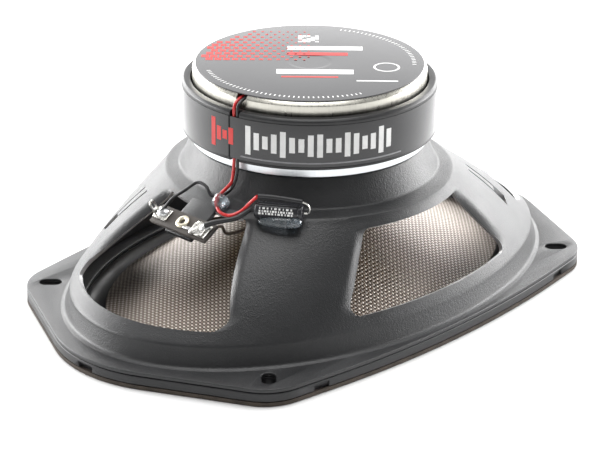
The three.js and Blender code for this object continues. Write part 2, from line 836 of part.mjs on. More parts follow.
// A point beyond the ledge's rim on the terminal side: outwards, along Y, and up from the ledge.
function fromLedge(outward, across, up) {
  return new THREE.Vector3(-(ledgeRadius + outward), across, ledgeZ + up);
}

const pairOffset = 0.8;
const blobCentre = polar(ledgeRadius + 0.5, wireAngle - 1.5, ledgeZ + 2.4);

// The red wire loops out over the end window and comes back to the splice on the capacitor.
function positiveWire(radius) {
  return tweeterWire(-pairOffset, [
    fromLedge(-6.2, -7.2, 8.2),
    fromLedge(-1, -6.2, 4),
    fromLedge(1.8, -7.6, 1.4),
    fromLedge(3.6, -10.6, 0),
    fromLedge(3.2, -15, -0.4),
    fromLedge(1.6, -20, 2.2),
    fromLedge(-1.4, -22, 5.4),
    onCapacitor(-8.2, 1.4, 6),
  ], radius);
}

// The black wire passes behind the red one and arches to the negative solder lug.
function negativeWire(radius) {
  return tweeterWire(pairOffset, [
    fromLedge(-5.8, -7.4, 5.6),
    fromLedge(-3.6, -4.4, 2.8),
    fromLedge(-1.2, -1.4, 2.6),
    fromLedge(-1.4, 1.8, 5.4),
    fromLedge(-1.2, 6.2, 5.8),
    fromLedge(2.2, 9.4, 2.8),
    onBoard(7.2, 10.8, 2.2),
    onBoard(3.8, 11.4, 1.6),
    onBoard(0.4, 11.4, tabFoot + tabThickness + wireRadius + 0.2),
  ], radius);
}

// A drop of glue that holds the pair on the ledge.
function wireGlue(bare) {
  const drop = new THREE.SphereGeometry(1, 16, 8).scale(3.4, 4, 3.4);
  drop.translate(blobCentre.x, blobCentre.y, blobCentre.z);
  const lifted = bare.clone().translate(-0.1, 0, 0.3);
  const tunnel = wireRadius + 0.12;
  return cut(drop, bare, lifted, positiveWire(tunnel), negativeWire(tunnel));
}

// The far lead turns back over the capacitor and meets the red wire in a sleeve.
function capacitorLead() {
  const end = capacitorLength / 2 + 0.2;
  return tube([
    onCapacitor(end, 0, 0), onCapacitor(end + 1.6, 0, 0.2), onCapacitor(end + 2.3, 0.5, 2),
    onCapacitor(end + 1.6, 1.2, 4.2), onCapacitor(end - 0.2, 1.5, 5.2),
  ], 0.4, 12, 6);
}

function spliceSleeve() {
  const end = capacitorLength / 2 - 0.3;
  return tube([
    onCapacitor(-7.8, 1.4, 6.1), onCapacitor(-3, 1.5, 6.2), onCapacitor(3, 1.6, 5.9),
    onCapacitor(end, 1.5, 5.3),
  ], 0.95, 8);
}

// A sleeved lead from the capacitor's near end to the positive lug.
function positiveJumper() {
  const end = -capacitorLength / 2 - 0.3;
  return tube([
    onCapacitor(end, 0, 0), onCapacitor(end - 1.2, 0, 0), onCapacitor(end - 3, 1.4, -1),
    fromLedge(4.2, -20.6, 0.6),
    onBoard(4, -15.8, 2.6),
    onBoard(0.6, -12.6, tabFoot + 2 * tabThickness + jumperRadius + 0.2),
  ], jumperRadius, 14, 6);
}

// Braided lead from under the board to the neck of the cone.
function tinselLead(side) {
  const radius = 0.6;
  return tube([
    onBoard(1.6, side * 10, -boardThickness - gap - radius),
    onBoard(8.4, side * 9.8, -boardThickness - 5.6),
    new THREE.Vector3(-(formerRadius + 40), side * 9.2, coneNeckZ - 0.4),
    new THREE.Vector3(-(formerRadius + 32), side * 8.4, coneNeckZ - 2.6),
    new THREE.Vector3(-(formerRadius + 21), side * 6.2, coneNeckZ - 3.2),
    new THREE.Vector3(-(formerRadius + 11), side * 4, coneNeckZ - 2.4),
  ], radius, 16, 6);
}

// ---------------------------------------------------------------- the assembly

const black = { color: 0x1b1c1e, roughness: 0.75, metalness: 0.1 };
const plastic = { color: 0x161719, roughness: 0.55, metalness: 0 };
const rubber = { color: 0x121212, roughness: 0.8, metalness: 0 };
const zinc = { color: 0xc9c6b8, roughness: 0.3, metalness: 1 };
const ferrite = { color: 0x3a3b3d, roughness: 0.7, metalness: 0.2 };
const copper = { color: 0xb56b3a, roughness: 0.35, metalness: 1 };
const weave = { color: 0xb7a79b, roughness: 0.45, metalness: 0.3 };
const tinned = { color: 0xd8d5cc, roughness: 0.25, metalness: 1 };
const glue = { color: 0xcfd6da, roughness: 0.15, metalness: 0 };

const speaker = new THREE.Group();

function add(name, geometry, look) {
  const mesh = new THREE.Mesh(geometry, new THREE.MeshStandardMaterial(look));
  mesh.name = name;
  speaker.add(mesh);
}

const bareBasket = basket();

add('basket', bareBasket, black);
add('front_gasket', frontGasket(), { color: 0x3a302a, roughness: 0.95, metalness: 0 });
add('trim_ring', trimRing(), plastic);
add('surround', surround(), rubber);
add('cone', cone(), weave);
add('dust_ring', dustRing(), { color: 0x202022, roughness: 0.95, metalness: 0 });
add('spider', spider(), { color: 0xc7a24a, roughness: 0.9, metalness: 0 });
add('voice_coil_former', voiceCoilFormer(), { color: 0x8a6a3a, roughness: 0.5, metalness: 0 });
add('voice_coil_winding', voiceCoilWinding(), copper);

add('front_plate', frontPlate(), zinc);
add('magnet', ringMagnet(), ferrite);
add('yoke', yoke(), zinc);
add('magnet_boot', magnetBoot(), rubber);
add('boot_wrap', bootWrap(), plastic);
add('rear_label', rearLabel(), plastic);
rivetAngles.forEach((degrees, i) => add(`plate_rivet_${i + 1}`, plateRivet(degrees), zinc));

add('tweeter_post', tweeterPost(), zinc);
add('post_nut', postNut(), zinc);
add('tweeter_pod', tweeterPod(), plastic);
add('tweeter_cup', tweeterCup(), zinc);
add('tweeter_magnet', tweeterMagnet(), tinned);
add('tweeter_pole_plate', tweeterPolePlate(), zinc);
add('tweeter_dome', tweeterDome(), { color: 0x26262a, roughness: 0.6, metalness: 0 });
add('tweeter_coil', tweeterCoil(), copper);
add('tweeter_spacer', tweeterSpacer(), plastic);
add('tweeter_face', tweeterFace(), plastic);

add('terminal_board', terminalBoard(), { color: 0x2a2723, roughness: 0.8, metalness: 0 });
add('terminal_eyelet', terminalEyelet(), tinned);
add('negative_terminal', negativeTerminal(), tinned);
add('positive_terminal', positiveTerminal(), tinned);
add('tinsel_lead_negative', tinselLead(1), copper);
add('tinsel_lead_positive', tinselLead(-1), copper);

add('capacitor', capacitor(), plastic);
add('capacitor_glue', capacitorGlue(bareBasket), glue);
add('capacitor_lead', capacitorLead(), tinned);
add('splice_sleeve', spliceSleeve(), rubber);
add('tweeter_wire_positive', positiveWire(), { color: 0xb81f22, roughness: 0.4, metalness: 0 });
add('tweeter_wire_negative', negativeWire(), rubber);
add('wire_glue', wireGlue(bareBasket), glue);
add('positive_jumper', positiveJumper(), rubber);

export default speaker;
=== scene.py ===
import math
import random

import bmesh
import bpy
from mathutils import Matrix, Vector
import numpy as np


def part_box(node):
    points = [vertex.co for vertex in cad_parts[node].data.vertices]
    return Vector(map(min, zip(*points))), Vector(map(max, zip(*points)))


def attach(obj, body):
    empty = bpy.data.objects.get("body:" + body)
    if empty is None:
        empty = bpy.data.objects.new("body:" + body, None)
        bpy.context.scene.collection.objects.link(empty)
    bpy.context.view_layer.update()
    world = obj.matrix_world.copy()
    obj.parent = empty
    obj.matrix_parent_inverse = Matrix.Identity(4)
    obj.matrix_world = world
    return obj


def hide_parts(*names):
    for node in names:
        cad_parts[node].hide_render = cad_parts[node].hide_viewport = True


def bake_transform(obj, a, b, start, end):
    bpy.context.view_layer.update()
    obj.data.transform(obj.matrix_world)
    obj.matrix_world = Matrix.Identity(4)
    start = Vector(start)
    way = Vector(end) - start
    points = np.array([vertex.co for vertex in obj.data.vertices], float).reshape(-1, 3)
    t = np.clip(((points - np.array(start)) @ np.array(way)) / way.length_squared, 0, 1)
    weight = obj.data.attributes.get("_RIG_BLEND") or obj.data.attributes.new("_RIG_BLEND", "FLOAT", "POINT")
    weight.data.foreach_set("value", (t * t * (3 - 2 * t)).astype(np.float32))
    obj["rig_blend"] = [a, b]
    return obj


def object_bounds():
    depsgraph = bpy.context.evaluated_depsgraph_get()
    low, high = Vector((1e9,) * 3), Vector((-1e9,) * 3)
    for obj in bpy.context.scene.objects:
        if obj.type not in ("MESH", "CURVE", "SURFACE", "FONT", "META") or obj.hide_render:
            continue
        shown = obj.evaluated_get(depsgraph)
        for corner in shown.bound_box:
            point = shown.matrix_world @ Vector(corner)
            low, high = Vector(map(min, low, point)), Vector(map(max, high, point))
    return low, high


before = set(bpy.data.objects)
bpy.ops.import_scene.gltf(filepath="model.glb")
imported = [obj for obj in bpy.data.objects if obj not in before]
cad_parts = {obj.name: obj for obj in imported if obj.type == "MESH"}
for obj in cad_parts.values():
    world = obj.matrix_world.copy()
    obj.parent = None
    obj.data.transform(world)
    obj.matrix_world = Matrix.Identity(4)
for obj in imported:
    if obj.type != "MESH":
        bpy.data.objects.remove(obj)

cad_low, cad_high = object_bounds()

# ------------------------------------------------------------------ driving sizes, in millimetres
# The helpers below take millimetres and turn them into metres when a mesh is made.

MM = 0.001
FRAME_BODY = "speaker_frame"
CONE_BODY = "woofer_cone"
DOME_BODY = "tweeter_diaphragm"


def span(node):
    """The low and high corners of a CAD node's box, in millimetres."""
    low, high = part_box(node)
    return [value / MM for value in low], [value / MM for value in high]


def half_sizes(node):
    """Half the length and half the width of a CAD node."""
    low, high = span(node)
    return (high[0] - low[0]) / 2, (high[1] - low[1]) / 2


# flange and the rings under it
FLANGE_A, FLANGE_B = half_sizes("basket")
FLANGE_TOP = span("trim_ring")[1][2] + 1.7
FLANGE_Z = FLANGE_TOP - 1.5
END_RADIUS = 52
SIDE_RADIUS = 430
EAR_RADIUS = 20
EAR_X = FLANGE_A - 42.5
EAR_Y = FLANGE_B - 27.3
HOLE_X = EAR_X + 6.5
HOLE_Y = EAR_Y + 8.6
HOLE_WIDTH = 5.5
HOLE_LENGTH = 9
CORNERS = ((1, 1), (-1, 1), (-1, -1), (1, -1))
OVAL_SEGMENTS = 256

# basket body
WALL_A = FLANGE_A - 9.2
WALL_B = FLANGE_B - 3.2
WALL_DRAFT = 1.8
WALL_TOP = FLANGE_TOP + 8.5
PLATE_RADIUS = half_sizes("front_plate")[0]
SEAT_RADIUS = PLATE_RADIUS - 0.5
NECK_RADIUS = SEAT_RADIUS + 5
LEDGE_RADIUS = NECK_RADIUS + 5.5
LEDGE_Z = FLANGE_TOP + 44.2
NECK_Z = LEDGE_Z + 1.3
SEAT_Z = span("basket")[1][2]
BELL_RADIUS = 21
BULGE = 0.06
SHEET = 1.7

# windows: foot and head widths, and how far the head stays below the ledge
FOOT_Z = FLANGE_TOP + 12.6
FOOT_CORNER = 3
HEAD_CORNER = 3.5
END_WINDOW = {"foot": 80, "head": 43, "drop": 1.6}
SIDE_WINDOW = {"foot": 90, "head": 54, "drop": 4.2}
ROLL_REACH = 4.6
ROLL_DEPTH = 2.3
WINDOW_COLUMNS = 12
LANCE_ANGLES = (-35, 145)

# motor
PLATE_Z = span("front_plate")[0][2]
PLATE_TOP = span("front_plate")[1][2]
BACK_RADIUS = half_sizes("yoke")[0]
REAR_FACE = span("yoke")[1][2]
BACK_Z = REAR_FACE - 6
BOOT_RADIUS = half_sizes("magnet_boot")[0]
BOOT_Z = span("magnet_boot")[0][2]
BOOT_TOP = span("magnet_boot")[1][2]
LABEL_RADIUS = half_sizes("rear_label")[0]
LABEL_TOP = span("rear_label")[1][2]
WIRE_ANGLE = 189
WIRE_RADIUS = 0.65
GROOVE_WIDTH = 4.4
WRAP_THICKNESS = 0.25
PRINT_DEPTH = 0.06

# cone and surround
FORMER_RADIUS = half_sizes("voice_coil_former")[0]
CONE_A, CONE_B = half_sizes("cone")
CONE_EDGE_Z = span("cone")[0][2]
CONE_NECK_Z = LEDGE_Z - 10.2
SURROUND_A, SURROUND_B = half_sizes("surround")
SURROUND_SHEET = 0.7
SURROUND_LIP = 6.5
SURROUND_FLEX = 9
SURROUND_GAP = 0.9
SURROUND_LIP_Z = span("surround")[1][2] - SURROUND_SHEET

# terminals
BOARD_REACH = 12.6
BOARD_X = -(LEDGE_RADIUS + BOARD_REACH)
BOARD_Z = LEDGE_Z - 4.95
BOARD_TILT = math.radians(30)
BOARD_WIDTH = 8.6
BOARD_LENGTH = 29.8
BOARD_THICKNESS = 1.6
STRIP_END = BOARD_LENGTH / 2 - 0.5
TAB_FOOT = 0.1
CAPACITOR_ANGLE = 212.5
CAPACITOR_RADIUS = 3.4
CAPACITOR_LENGTH = 18.6

# ------------------------------------------------------------------ camera

CAMERA_AZIMUTH = math.radians(-46.67)
CAMERA_ELEVATION = math.radians(23.15)
CAMERA_ROLL = math.radians(0.54)
CAMERA_DISTANCE = 965.1
CAMERA_LENS = 142.5


def set_camera():
    """A long lens from behind and above, aimed a little below the motor."""
    azimuth, elevation, roll = CAMERA_AZIMUTH, CAMERA_ELEVATION, CAMERA_ROLL
    back = Vector((math.sin(azimuth) * math.cos(elevation), -math.cos(azimuth) * math.cos(elevation),
                   math.sin(elevation)))
    level = Vector((math.cos(azimuth), math.sin(azimuth), 0))
    upright = back.cross(level)
    right = math.cos(roll) * level + math.sin(roll) * upright
    up = -math.sin(roll) * level + math.cos(roll) * upright
    aim = Vector((0, 0, 49.76)) - 1.52 * right - 23.62 * up
    data = bpy.data.cameras.new("camera")
    data.lens = CAMERA_LENS
    data.sensor_width = 36
    data.clip_end = 20
    camera = bpy.data.objects.new("camera", data)
    turn = Matrix((right, up, back)).transposed().to_4x4()
    camera.matrix_world = Matrix.Translation((aim + CAMERA_DISTANCE * back) * MM) @ turn
    bpy.context.scene.collection.objects.link(camera)
    bpy.context.scene.camera = camera


set_camera()

# ------------------------------------------------------------------ materials


class Finish:
    """A material with a short way to add and join its nodes. Lengths in it are metres."""

    def __init__(self, name):
        self.material = bpy.data.materials.new(name)
        self.material.use_nodes = True
        self.tree = self.material.node_tree
        self.shader = self.tree.nodes["Principled BSDF"]

    def add(self, kind, **settings):
        node = self.tree.nodes.new(kind)
        for key, value in settings.items():
            setattr(node, key, value)
        return node

    def join(self, output, socket):
        self.tree.links.new(output, socket)

    def place(self):
        return self.add("ShaderNodeTexCoord").outputs["Object"]

    def maths(self, operation, first, second=None):
        node = self.add("ShaderNodeMath", operation=operation)
        for socket, value in zip(node.inputs, (first, second)):
            if isinstance(value, (int, float)):
                socket.default_value = value
            elif value is not None:
                self.join(value, socket)
        return node.outputs[0]

    def weighed(self, first, share, second):
        """The share of the first value and the rest of the second, added."""
        main = self.maths("MULTIPLY", first, share)
        return self.maths("ADD", main, self.maths("MULTIPLY", second, 1 - share))

    def noise(self, per_metre, detail=3.0, stretch=None):
        node = self.add("ShaderNodeTexNoise")
        node.inputs["Scale"].default_value = per_metre
        node.inputs["Detail"].default_value = detail
        node.inputs["Roughness"].default_value = 0.6
        source = self.place()
        if stretch:
            mapping = self.add("ShaderNodeMapping")
            mapping.inputs["Scale"].default_value = stretch
            self.join(source, mapping.inputs["Vector"])
            source = mapping.outputs[0]
        self.join(source, node.inputs["Vector"])
        return node.outputs["Fac"]

    def spread(self, source, low, high, from_low=0.3, from_high=0.7):
        node = self.add("ShaderNodeMapRange")
        node.inputs["From Min"].default_value = from_low
        node.inputs["From Max"].default_value = from_high
        node.inputs["To Min"].default_value = low
        node.inputs["To Max"].default_value = high
        self.join(source, node.inputs["Value"])
        return node.outputs[0]

    def blend(self, factor, first, second):
        node = self.add("ShaderNodeMix", data_type="RGBA")
        self.join(factor, node.inputs[0])
        for socket, colour in ((node.inputs[6], first), (node.inputs[7], second)):
            if isinstance(colour, tuple):
                socket.default_value = (*colour, 1)
            else:
                self.join(colour, socket)
        return node.outputs[2]

    def colour(self, value):
        socket = self.shader.inputs["Base Color"]
        if isinstance(value, tuple):
            socket.default_value = (*value, 1)
        else:
            self.join(value, socket)

    def rough(self, source, low, high):
        self.join(self.spread(source, low, high), self.shader.inputs["Roughness"])

    def bump(self, height, distance, strength=1.0):
        node = self.add("ShaderNodeBump")
        node.inputs["Distance"].default_value = distance
        node.inputs["Strength"].default_value = strength
        self.join(height, node.inputs["Height"])
        self.join(node.outputs[0], self.shader.inputs["Normal"])

    def set(self, **sockets):
        for name, value in sockets.items():
            self.shader.inputs[name.replace("_", " ")].default_value = value


def speckled(name, dark, light, grain, low, high, depth, metallic=0.0, strength=0.6, **sockets):
    """A finish whose colour and roughness drift over the surface, with a fine grain in its relief."""
    finish = Finish(name)
    drift = finish.noise(grain / 12, detail=4)
    fine = finish.noise(grain, detail=2)
    finish.colour(finish.blend(finish.spread(drift, 0, 1), dark, light))
    finish.rough(finish.weighed(drift, 0.6, fine), low, high)
    finish.bump(fine, depth, strength)
    finish.set(Metallic=metallic, **sockets)
    return finish.material


def steel_coat():
    """Black electrocoat on pressed steel: a fine leathery grain over a slow drift in tone."""
    finish = Finish("black_coated_steel")
    grain = finish.noise(2300, detail=2)
    peel = finish.noise(1000, detail=2)
    drift = finish.noise(45, detail=5)
    finish.colour(finish.blend(finish.spread(drift, 0, 1), (0.0085, 0.009, 0.010), (0.016, 0.0165, 0.018)))
    finish.rough(finish.weighed(grain, 0.6, drift), 0.3, 0.5)
    relief = finish.maths("ADD", grain, finish.maths("MULTIPLY", peel, 0.8))
    finish.bump(relief, 0.0002, 0.7)
    finish.set(Specular_IOR_Level=0.6)
    return finish.material


def plated(name, dark, light, low, high):
    """Zinc plate with faint turning marks round the axis, vertical draw marks and cloudy passivate."""
    finish = Finish(name)
    separate = finish.add("ShaderNodeSeparateXYZ")
    finish.join(finish.place(), separate.inputs[0])
    square = [finish.maths("MULTIPLY", separate.outputs[i], separate.outputs[i]) for i in (0, 1)]
    radius = finish.maths("SQRT", finish.maths("ADD", *square))
    rings = finish.add("ShaderNodeTexNoise", noise_dimensions="1D")
    rings.inputs["Scale"].default_value = 4200
    rings.inputs["Detail"].default_value = 2
    finish.join(radius, rings.inputs["W"])
    draw = finish.noise(900, detail=2, stretch=(1, 1, 0.12))
    drift = finish.noise(38, detail=5)
    marks = finish.weighed(rings.outputs["Fac"], 0.4, draw)
    tone = finish.spread(finish.weighed(drift, 0.6, draw), 0, 1)
    finish.colour(finish.blend(tone, dark, light))
    finish.rough(marks, low, high)
    finish.bump(marks, 0.00003, 0.45)
    finish.set(Metallic=1.0)
    return finish.material


def woven_cone():
    """A coated plain weave of silvery yarn. Its crossing threads are painted as a lit and a shaded copy of
    the yarn colour, with painted shade in the dark brown gaps between the threads.
    """
    finish = Finish("woven_cone_cloth")
    separate = finish.add("ShaderNodeSeparateXYZ")
    finish.join(finish.place(), separate.inputs[0])
    cell = 0.00108
    warp = finish.maths("DIVIDE", separate.outputs[0], cell)
    weft = finish.maths("DIVIDE", separate.outputs[1], cell)
    cells = finish.maths("ADD", finish.maths("FLOOR", warp), finish.maths("FLOOR", weft))
    over = finish.maths("LESS_THAN", finish.maths("FLOORED_MODULO", cells, 2.0), 1.0)
    under = finish.maths("SUBTRACT", 1.0, over)
    across = [finish.maths("ABSOLUTE", finish.maths("SINE", finish.maths("MULTIPLY", line, math.pi)))
              for line in (warp, weft)]
    crown = [finish.maths("POWER", value, 0.7) for value in across]
    swell = [finish.maths("ADD", 0.45, finish.maths("MULTIPLY", value, 0.55)) for value in across]
    lengthwise = finish.maths("MULTIPLY", finish.maths("MULTIPLY", crown[0], swell[1]), over)
    crosswise = finish.maths("MULTIPLY", finish.maths("MULTIPLY", crown[1], swell[0]), under)
    height = finish.maths("ADD", lengthwise, finish.maths("MULTIPLY", crosswise, 0.82))
    fibres = finish.noise(3600, detail=2)
    drift = finish.noise(60, detail=3)
    # Painted light: threads lying one way take a lit copy of the yarn colour, the crossing threads a shaded
    # copy.
    lit_yarn = finish.blend(drift, (0.52, 0.46, 0.41), (0.66, 0.61, 0.56))
    shaded_yarn = finish.blend(drift, (0.24, 0.19, 0.155), (0.33, 0.28, 0.24))
    cloth = finish.blend(over, shaded_yarn, lit_yarn)
    # Painted shade: the colour sinks to dark brown where the threads dip between each other.
    finish.colour(finish.blend(finish.spread(height, 0, 1, 0.25, 0.75), (0.035, 0.022, 0.016), cloth))
    finish.rough(fibres, 0.28, 0.44)
    finish.bump(finish.maths("ADD", height, finish.maths("MULTIPLY", fibres, 0.2)), 0.00028, 0.8)
    finish.set(Metallic=0.85)
    return finish.material


def fine_cloth(name, dark, light, cell):
    """A coated cloth of crossing threads, one cell apart, with painted shade in the hollows between the
    threads.
    """
    finish = Finish(name)
    separate = finish.add("ShaderNodeSeparateXYZ")
    finish.join(finish.place(), separate.inputs[0])
    threads = [finish.maths("ABSOLUTE", finish.maths("SINE", finish.maths(
        "MULTIPLY", separate.outputs[i], math.pi / cell))) for i in (0, 1)]
    height = finish.maths("MAXIMUM", *threads)
    # Painted shade: the colour falls from the light thread colour to the dark one where the threads sink.
    finish.colour(finish.blend(height, dark, light))
    finish.rough(finish.noise(900), 0.7, 0.95)
    finish.bump(height, cell * 0.3, 0.6)
    finish.set(Sheen_Weight=0.2)
    return finish.material


def clear_glue():
    """Clear hot glue: smooth and wet-looking, a little cloudy, so the black below shows through."""
    finish = Finish("clear_hot_glue")
    ripple = finish.noise(330, detail=3)
    cloud = finish.noise(520, detail=4)
    finish.colour(finish.blend(finish.spread(cloud, 0, 1), (0.5, 0.6, 0.68), (0.82, 0.88, 0.92)))
    finish.rough(ripple, 0.03, 0.12)
    finish.bump(ripple, 0.0011, 0.7)
    finish.set(Transmission_Weight=0.93, IOR=1.47, Coat_Weight=0.6, Coat_Roughness=0.04)
    return finish.material


def pale_floor():
    """The matt, nearly white sheet that the speaker lies on."""
    finish = Finish("pale_floor")
    finish.colour(finish.blend(finish.noise(6, detail=4), (0.9, 0.9, 0.9), (0.93, 0.93, 0.93)))
    finish.rough(finish.noise(30), 0.6, 0.8)
    return finish.material


COAT = steel_coat()
CUT_EDGE = speckled("cut_sheet_edge", (0.3, 0.3, 0.31), (0.6, 0.6, 0.61), 900, 0.25, 0.42, 0.00004, 0.5)
ZINC = plated("rear_zinc_plate", (0.5, 0.49, 0.44), (0.72, 0.7, 0.63), 0.22, 0.42)
# The same zinc plating as the rear, painted brighter and cooler: a painted reflection of the white floor and
# room.
FRONT_ZINC_PAINTED_BRIGHT = plated("front_zinc_plate", (0.72, 0.75, 0.77), (0.86, 0.89, 0.91), 0.28, 0.42)
WEAVE = woven_cone()
GLUE = clear_glue()
PLASTIC = speckled("moulded_black_plastic", (0.012, 0.012, 0.013), (0.02, 0.02, 0.022), 1800, 0.34, 0.5,
                   0.00004)
GASKET = speckled("brown_pressed_fibre", (0.035, 0.028, 0.022), (0.085, 0.068, 0.055), 2200, 0.8, 0.98,
                  0.0002, 0, 0.9)
RUBBER = speckled("black_rubber", (0.010, 0.010, 0.011), (0.02, 0.02, 0.021), 1500, 0.42, 0.6, 0.00005)
BOOT_RUBBER = speckled("boot_rubber", (0.012, 0.012, 0.013), (0.022, 0.022, 0.023), 1200, 0.3, 0.45, 0.00004)
WRAP_FILM = speckled("glossy_wrap_film", (0.01, 0.01, 0.011), (0.014, 0.014, 0.016), 240, 0.14, 0.26, 0.00004,
                     0, 0.25, Coat_Weight=0.4)
LABEL_FILM = speckled("glossy_label_film", (0.035, 0.035, 0.038), (0.05, 0.05, 0.054), 160, 0.14, 0.26,
                      0.00005, 0, 0.25, Coat_Weight=0.5)
WHITE_INK = speckled("white_ink", (0.75, 0.75, 0.74), (0.84, 0.84, 0.83), 1400, 0.35, 0.5, 0.00002)
RED_INK = speckled("red_ink", (0.5, 0.02, 0.02), (0.62, 0.035, 0.03), 1400, 0.3, 0.45, 0.00002)
GREY_INK = speckled("grey_ink", (0.2, 0.2, 0.21), (0.27, 0.27, 0.28), 1400, 0.35, 0.5, 0.00002)
FERRITE = speckled("ground_ferrite", (0.05, 0.05, 0.053), (0.085, 0.085, 0.09), 1600, 0.5, 0.75, 0.00008)
TINNED = speckled("tinned_brass", (0.68, 0.67, 0.63), (0.85, 0.84, 0.8), 900, 0.16, 0.36, 0.00005, 1.0)
SOLDER = speckled("solder", (0.6, 0.61, 0.62), (0.8, 0.8, 0.8), 500, 0.15, 0.4, 0.0001, 1.0)
CREAM_BRASS = speckled("cream_plated_eyelet", (0.72, 0.66, 0.5), (0.85, 0.8, 0.66), 900, 0.25, 0.4,
                       0.00004, 0.8)
BOARD = speckled("fibre_board", (0.045, 0.038, 0.034), (0.085, 0.075, 0.066), 1300, 0.6, 0.85, 0.00008)
RED_PVC = speckled("red_wire_jacket", (0.5, 0.02, 0.02), (0.62, 0.03, 0.03), 700, 0.22, 0.38, 0.00003)
BLACK_PVC = speckled("black_wire_jacket", (0.012, 0.012, 0.014), (0.02, 0.02, 0.022), 700, 0.24, 0.4, 0.00003)
SLEEVE = speckled("shrink_sleeve", (0.012, 0.012, 0.013), (0.024, 0.024, 0.026), 500, 0.3, 0.5, 0.0001)
CAN = speckled("capacitor_jacket", (0.02, 0.02, 0.024), (0.03, 0.03, 0.034), 300, 0.2, 0.34, 0.00005)
COPPER = speckled("enamelled_copper", (0.5, 0.2, 0.09), (0.66, 0.3, 0.14), 1600, 0.25, 0.4, 0.00005, 1.0)
BRAID = speckled("dark_tinsel_braid", (0.03, 0.022, 0.018), (0.16, 0.12, 0.095), 3000, 0.4, 0.65, 0.0002, 0.3)
KRAFT = speckled("brown_former_film", (0.26, 0.13, 0.05), (0.36, 0.2, 0.09), 800, 0.35, 0.55, 0.00004)
FELT = speckled("black_felt", (0.012, 0.012, 0.012), (0.05, 0.05, 0.05), 3000, 0.85, 1.0, 0.0004, 0, 1.0,
                Sheen_Weight=0.3)
SILK = fine_cloth("coated_silk", (0.012, 0.012, 0.014), (0.035, 0.035, 0.038), 0.0006)
SPIDER_CLOTH = fine_cloth("yellow_spider_cloth", (0.3, 0.19, 0.05), (0.62, 0.44, 0.16), 0.0008)

# ------------------------------------------------------------------ mesh helpers


def piece_from(name, points, faces, material, smooth=True):
    """A mesh object from points in millimetres, with doubles merged and its faces turned outwards."""
    mesh = bpy.data.meshes.new(name)
    mesh.from_pydata([(x * MM, y * MM, z * MM) for x, y, z in points], [], faces)
    tidy_mesh(mesh)
    mesh.materials.append(material)
    obj = bpy.data.objects.new(name, mesh)
    bpy.context.scene.collection.objects.link(obj)
    if smooth:
        soften_shading(obj)
    return obj


def object_from(name, work, *materials):
    """Ends the work on a bmesh: it becomes an object with the given materials."""
    mesh = bpy.data.meshes.new(name)
    work.to_mesh(mesh)
    work.free()
    for material in materials:
        mesh.materials.append(material)
    obj = bpy.data.objects.new(name, mesh)
    bpy.context.scene.collection.objects.link(obj)
    return obj


def tidy_mesh(mesh):
    """Merges doubles, drops slivers and turns the faces outwards."""
    work = bmesh.new()
    work.from_mesh(mesh)
    bmesh.ops.remove_doubles(work, verts=work.verts, dist=1e-7)
    bmesh.ops.dissolve_degenerate(work, edges=work.edges, dist=1e-8)
    bmesh.ops.recalc_face_normals(work, faces=work.faces)
    work.to_mesh(mesh)
    work.free()


def soften_shading(obj, degrees=32):
    """Smooth shading, with edges kept sharp where the faces turn by more than the angle."""
    obj.data.shade_smooth()
    obj.data.set_sharp_from_angle(angle=math.radians(degrees))


def applied(obj):
    """Turns the object's modifiers into plain mesh."""
    bpy.context.view_layer.update()
    seen = obj.evaluated_get(bpy.context.evaluated_depsgraph_get())
    mesh = bpy.data.meshes.new_from_object(seen)
    obj.modifiers.clear()
    obj.data = mesh
    return obj


def cut_away(obj, *cutters):
    """Takes the cutters out of the object and removes them."""
    for cutter in cutters:
        modifier = obj.modifiers.new("cut", "BOOLEAN")
        modifier.operation = "DIFFERENCE"
        modifier.solver = "EXACT"
        modifier.object = cutter
    applied(obj)
    for cutter in cutters:
        bpy.data.objects.remove(cutter)
    return obj


def settle(obj, body, nodes=()):
    """The last step for a piece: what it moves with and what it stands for."""
    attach(obj, body)
    if nodes:
        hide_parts(*nodes)
    return obj


def bent(points, reach, steps=3):
    """A line of points with each inner corner rounded over the given reach."""
    out = [points[0]]
    for before, corner, after in zip(points, points[1:], points[2:]):
        start, middle, end = (Vector(p) for p in (before, corner, after))
        back = min(reach, (start - middle).length * 0.45)
        on = min(reach, (end - middle).length * 0.45)
        first = middle + (start - middle).normalized() * back
        last = middle + (end - middle).normalized() * on
        for i in range(steps + 1):
            t = i / steps
            out.append(tuple((1 - t) ** 2 * first + 2 * t * (1 - t) * middle + t ** 2 * last))
    out.append(points[-1])
    return out


def bent_loop(points, reach):
    """A closed line of points with each corner rounded."""
    wrapped = [points[-1], *points, points[0]]
    return bent(wrapped, reach)[1:-1]


def skin(rows, close_rows=False):
    """Faces between neighbouring rows of equal length, each row a closed ring."""
    faces = []
    count = len(rows[0])
    pairs = list(zip(range(len(rows)), range(1, len(rows))))
    if close_rows:
        pairs.append((len(rows) - 1, 0))
    for lower, upper in pairs:
        for i in range(count):
            j = (i + 1) % count
            faces.append((lower * count + i, lower * count + j, upper * count + j, upper * count + i))
    return [point for row in rows for point in row], faces


def turned(name, profile, material, segments=160, corner=0.25, about=(0, 0)):
    """A closed profile of (radius, z) turned about Z, with its corners eased."""
    on_axis = profile[0][0] == 0
    line = bent(profile, corner) if on_axis else bent_loop(profile, corner)
    rows = []
    for radius, z in line:
        rows.append([(about[0] + radius * math.cos(a), about[1] + radius * math.sin(a), z)
                     for a in (2 * math.pi * i / segments for i in range(segments))])
    points, faces = skin(rows, close_rows=not on_axis)
    return piece_from(name, points, faces, material)


def oval(a, b, segments=OVAL_SEGMENTS):
    return [(a * math.cos(t), b * math.sin(t)) for t in (2 * math.pi * i / segments for i in range(segments))]


def oval_turned(name, rows, material, segments=OVAL_SEGMENTS, closed=True):
    """Rows of (half length, half width, z) turned about Z."""
    rings = [[(x, y, z) for x, y in oval(a, b, segments)] for a, b, z in rows]
    points, faces = skin(rings, close_rows=closed)
    return piece_from(name, points, faces, material)


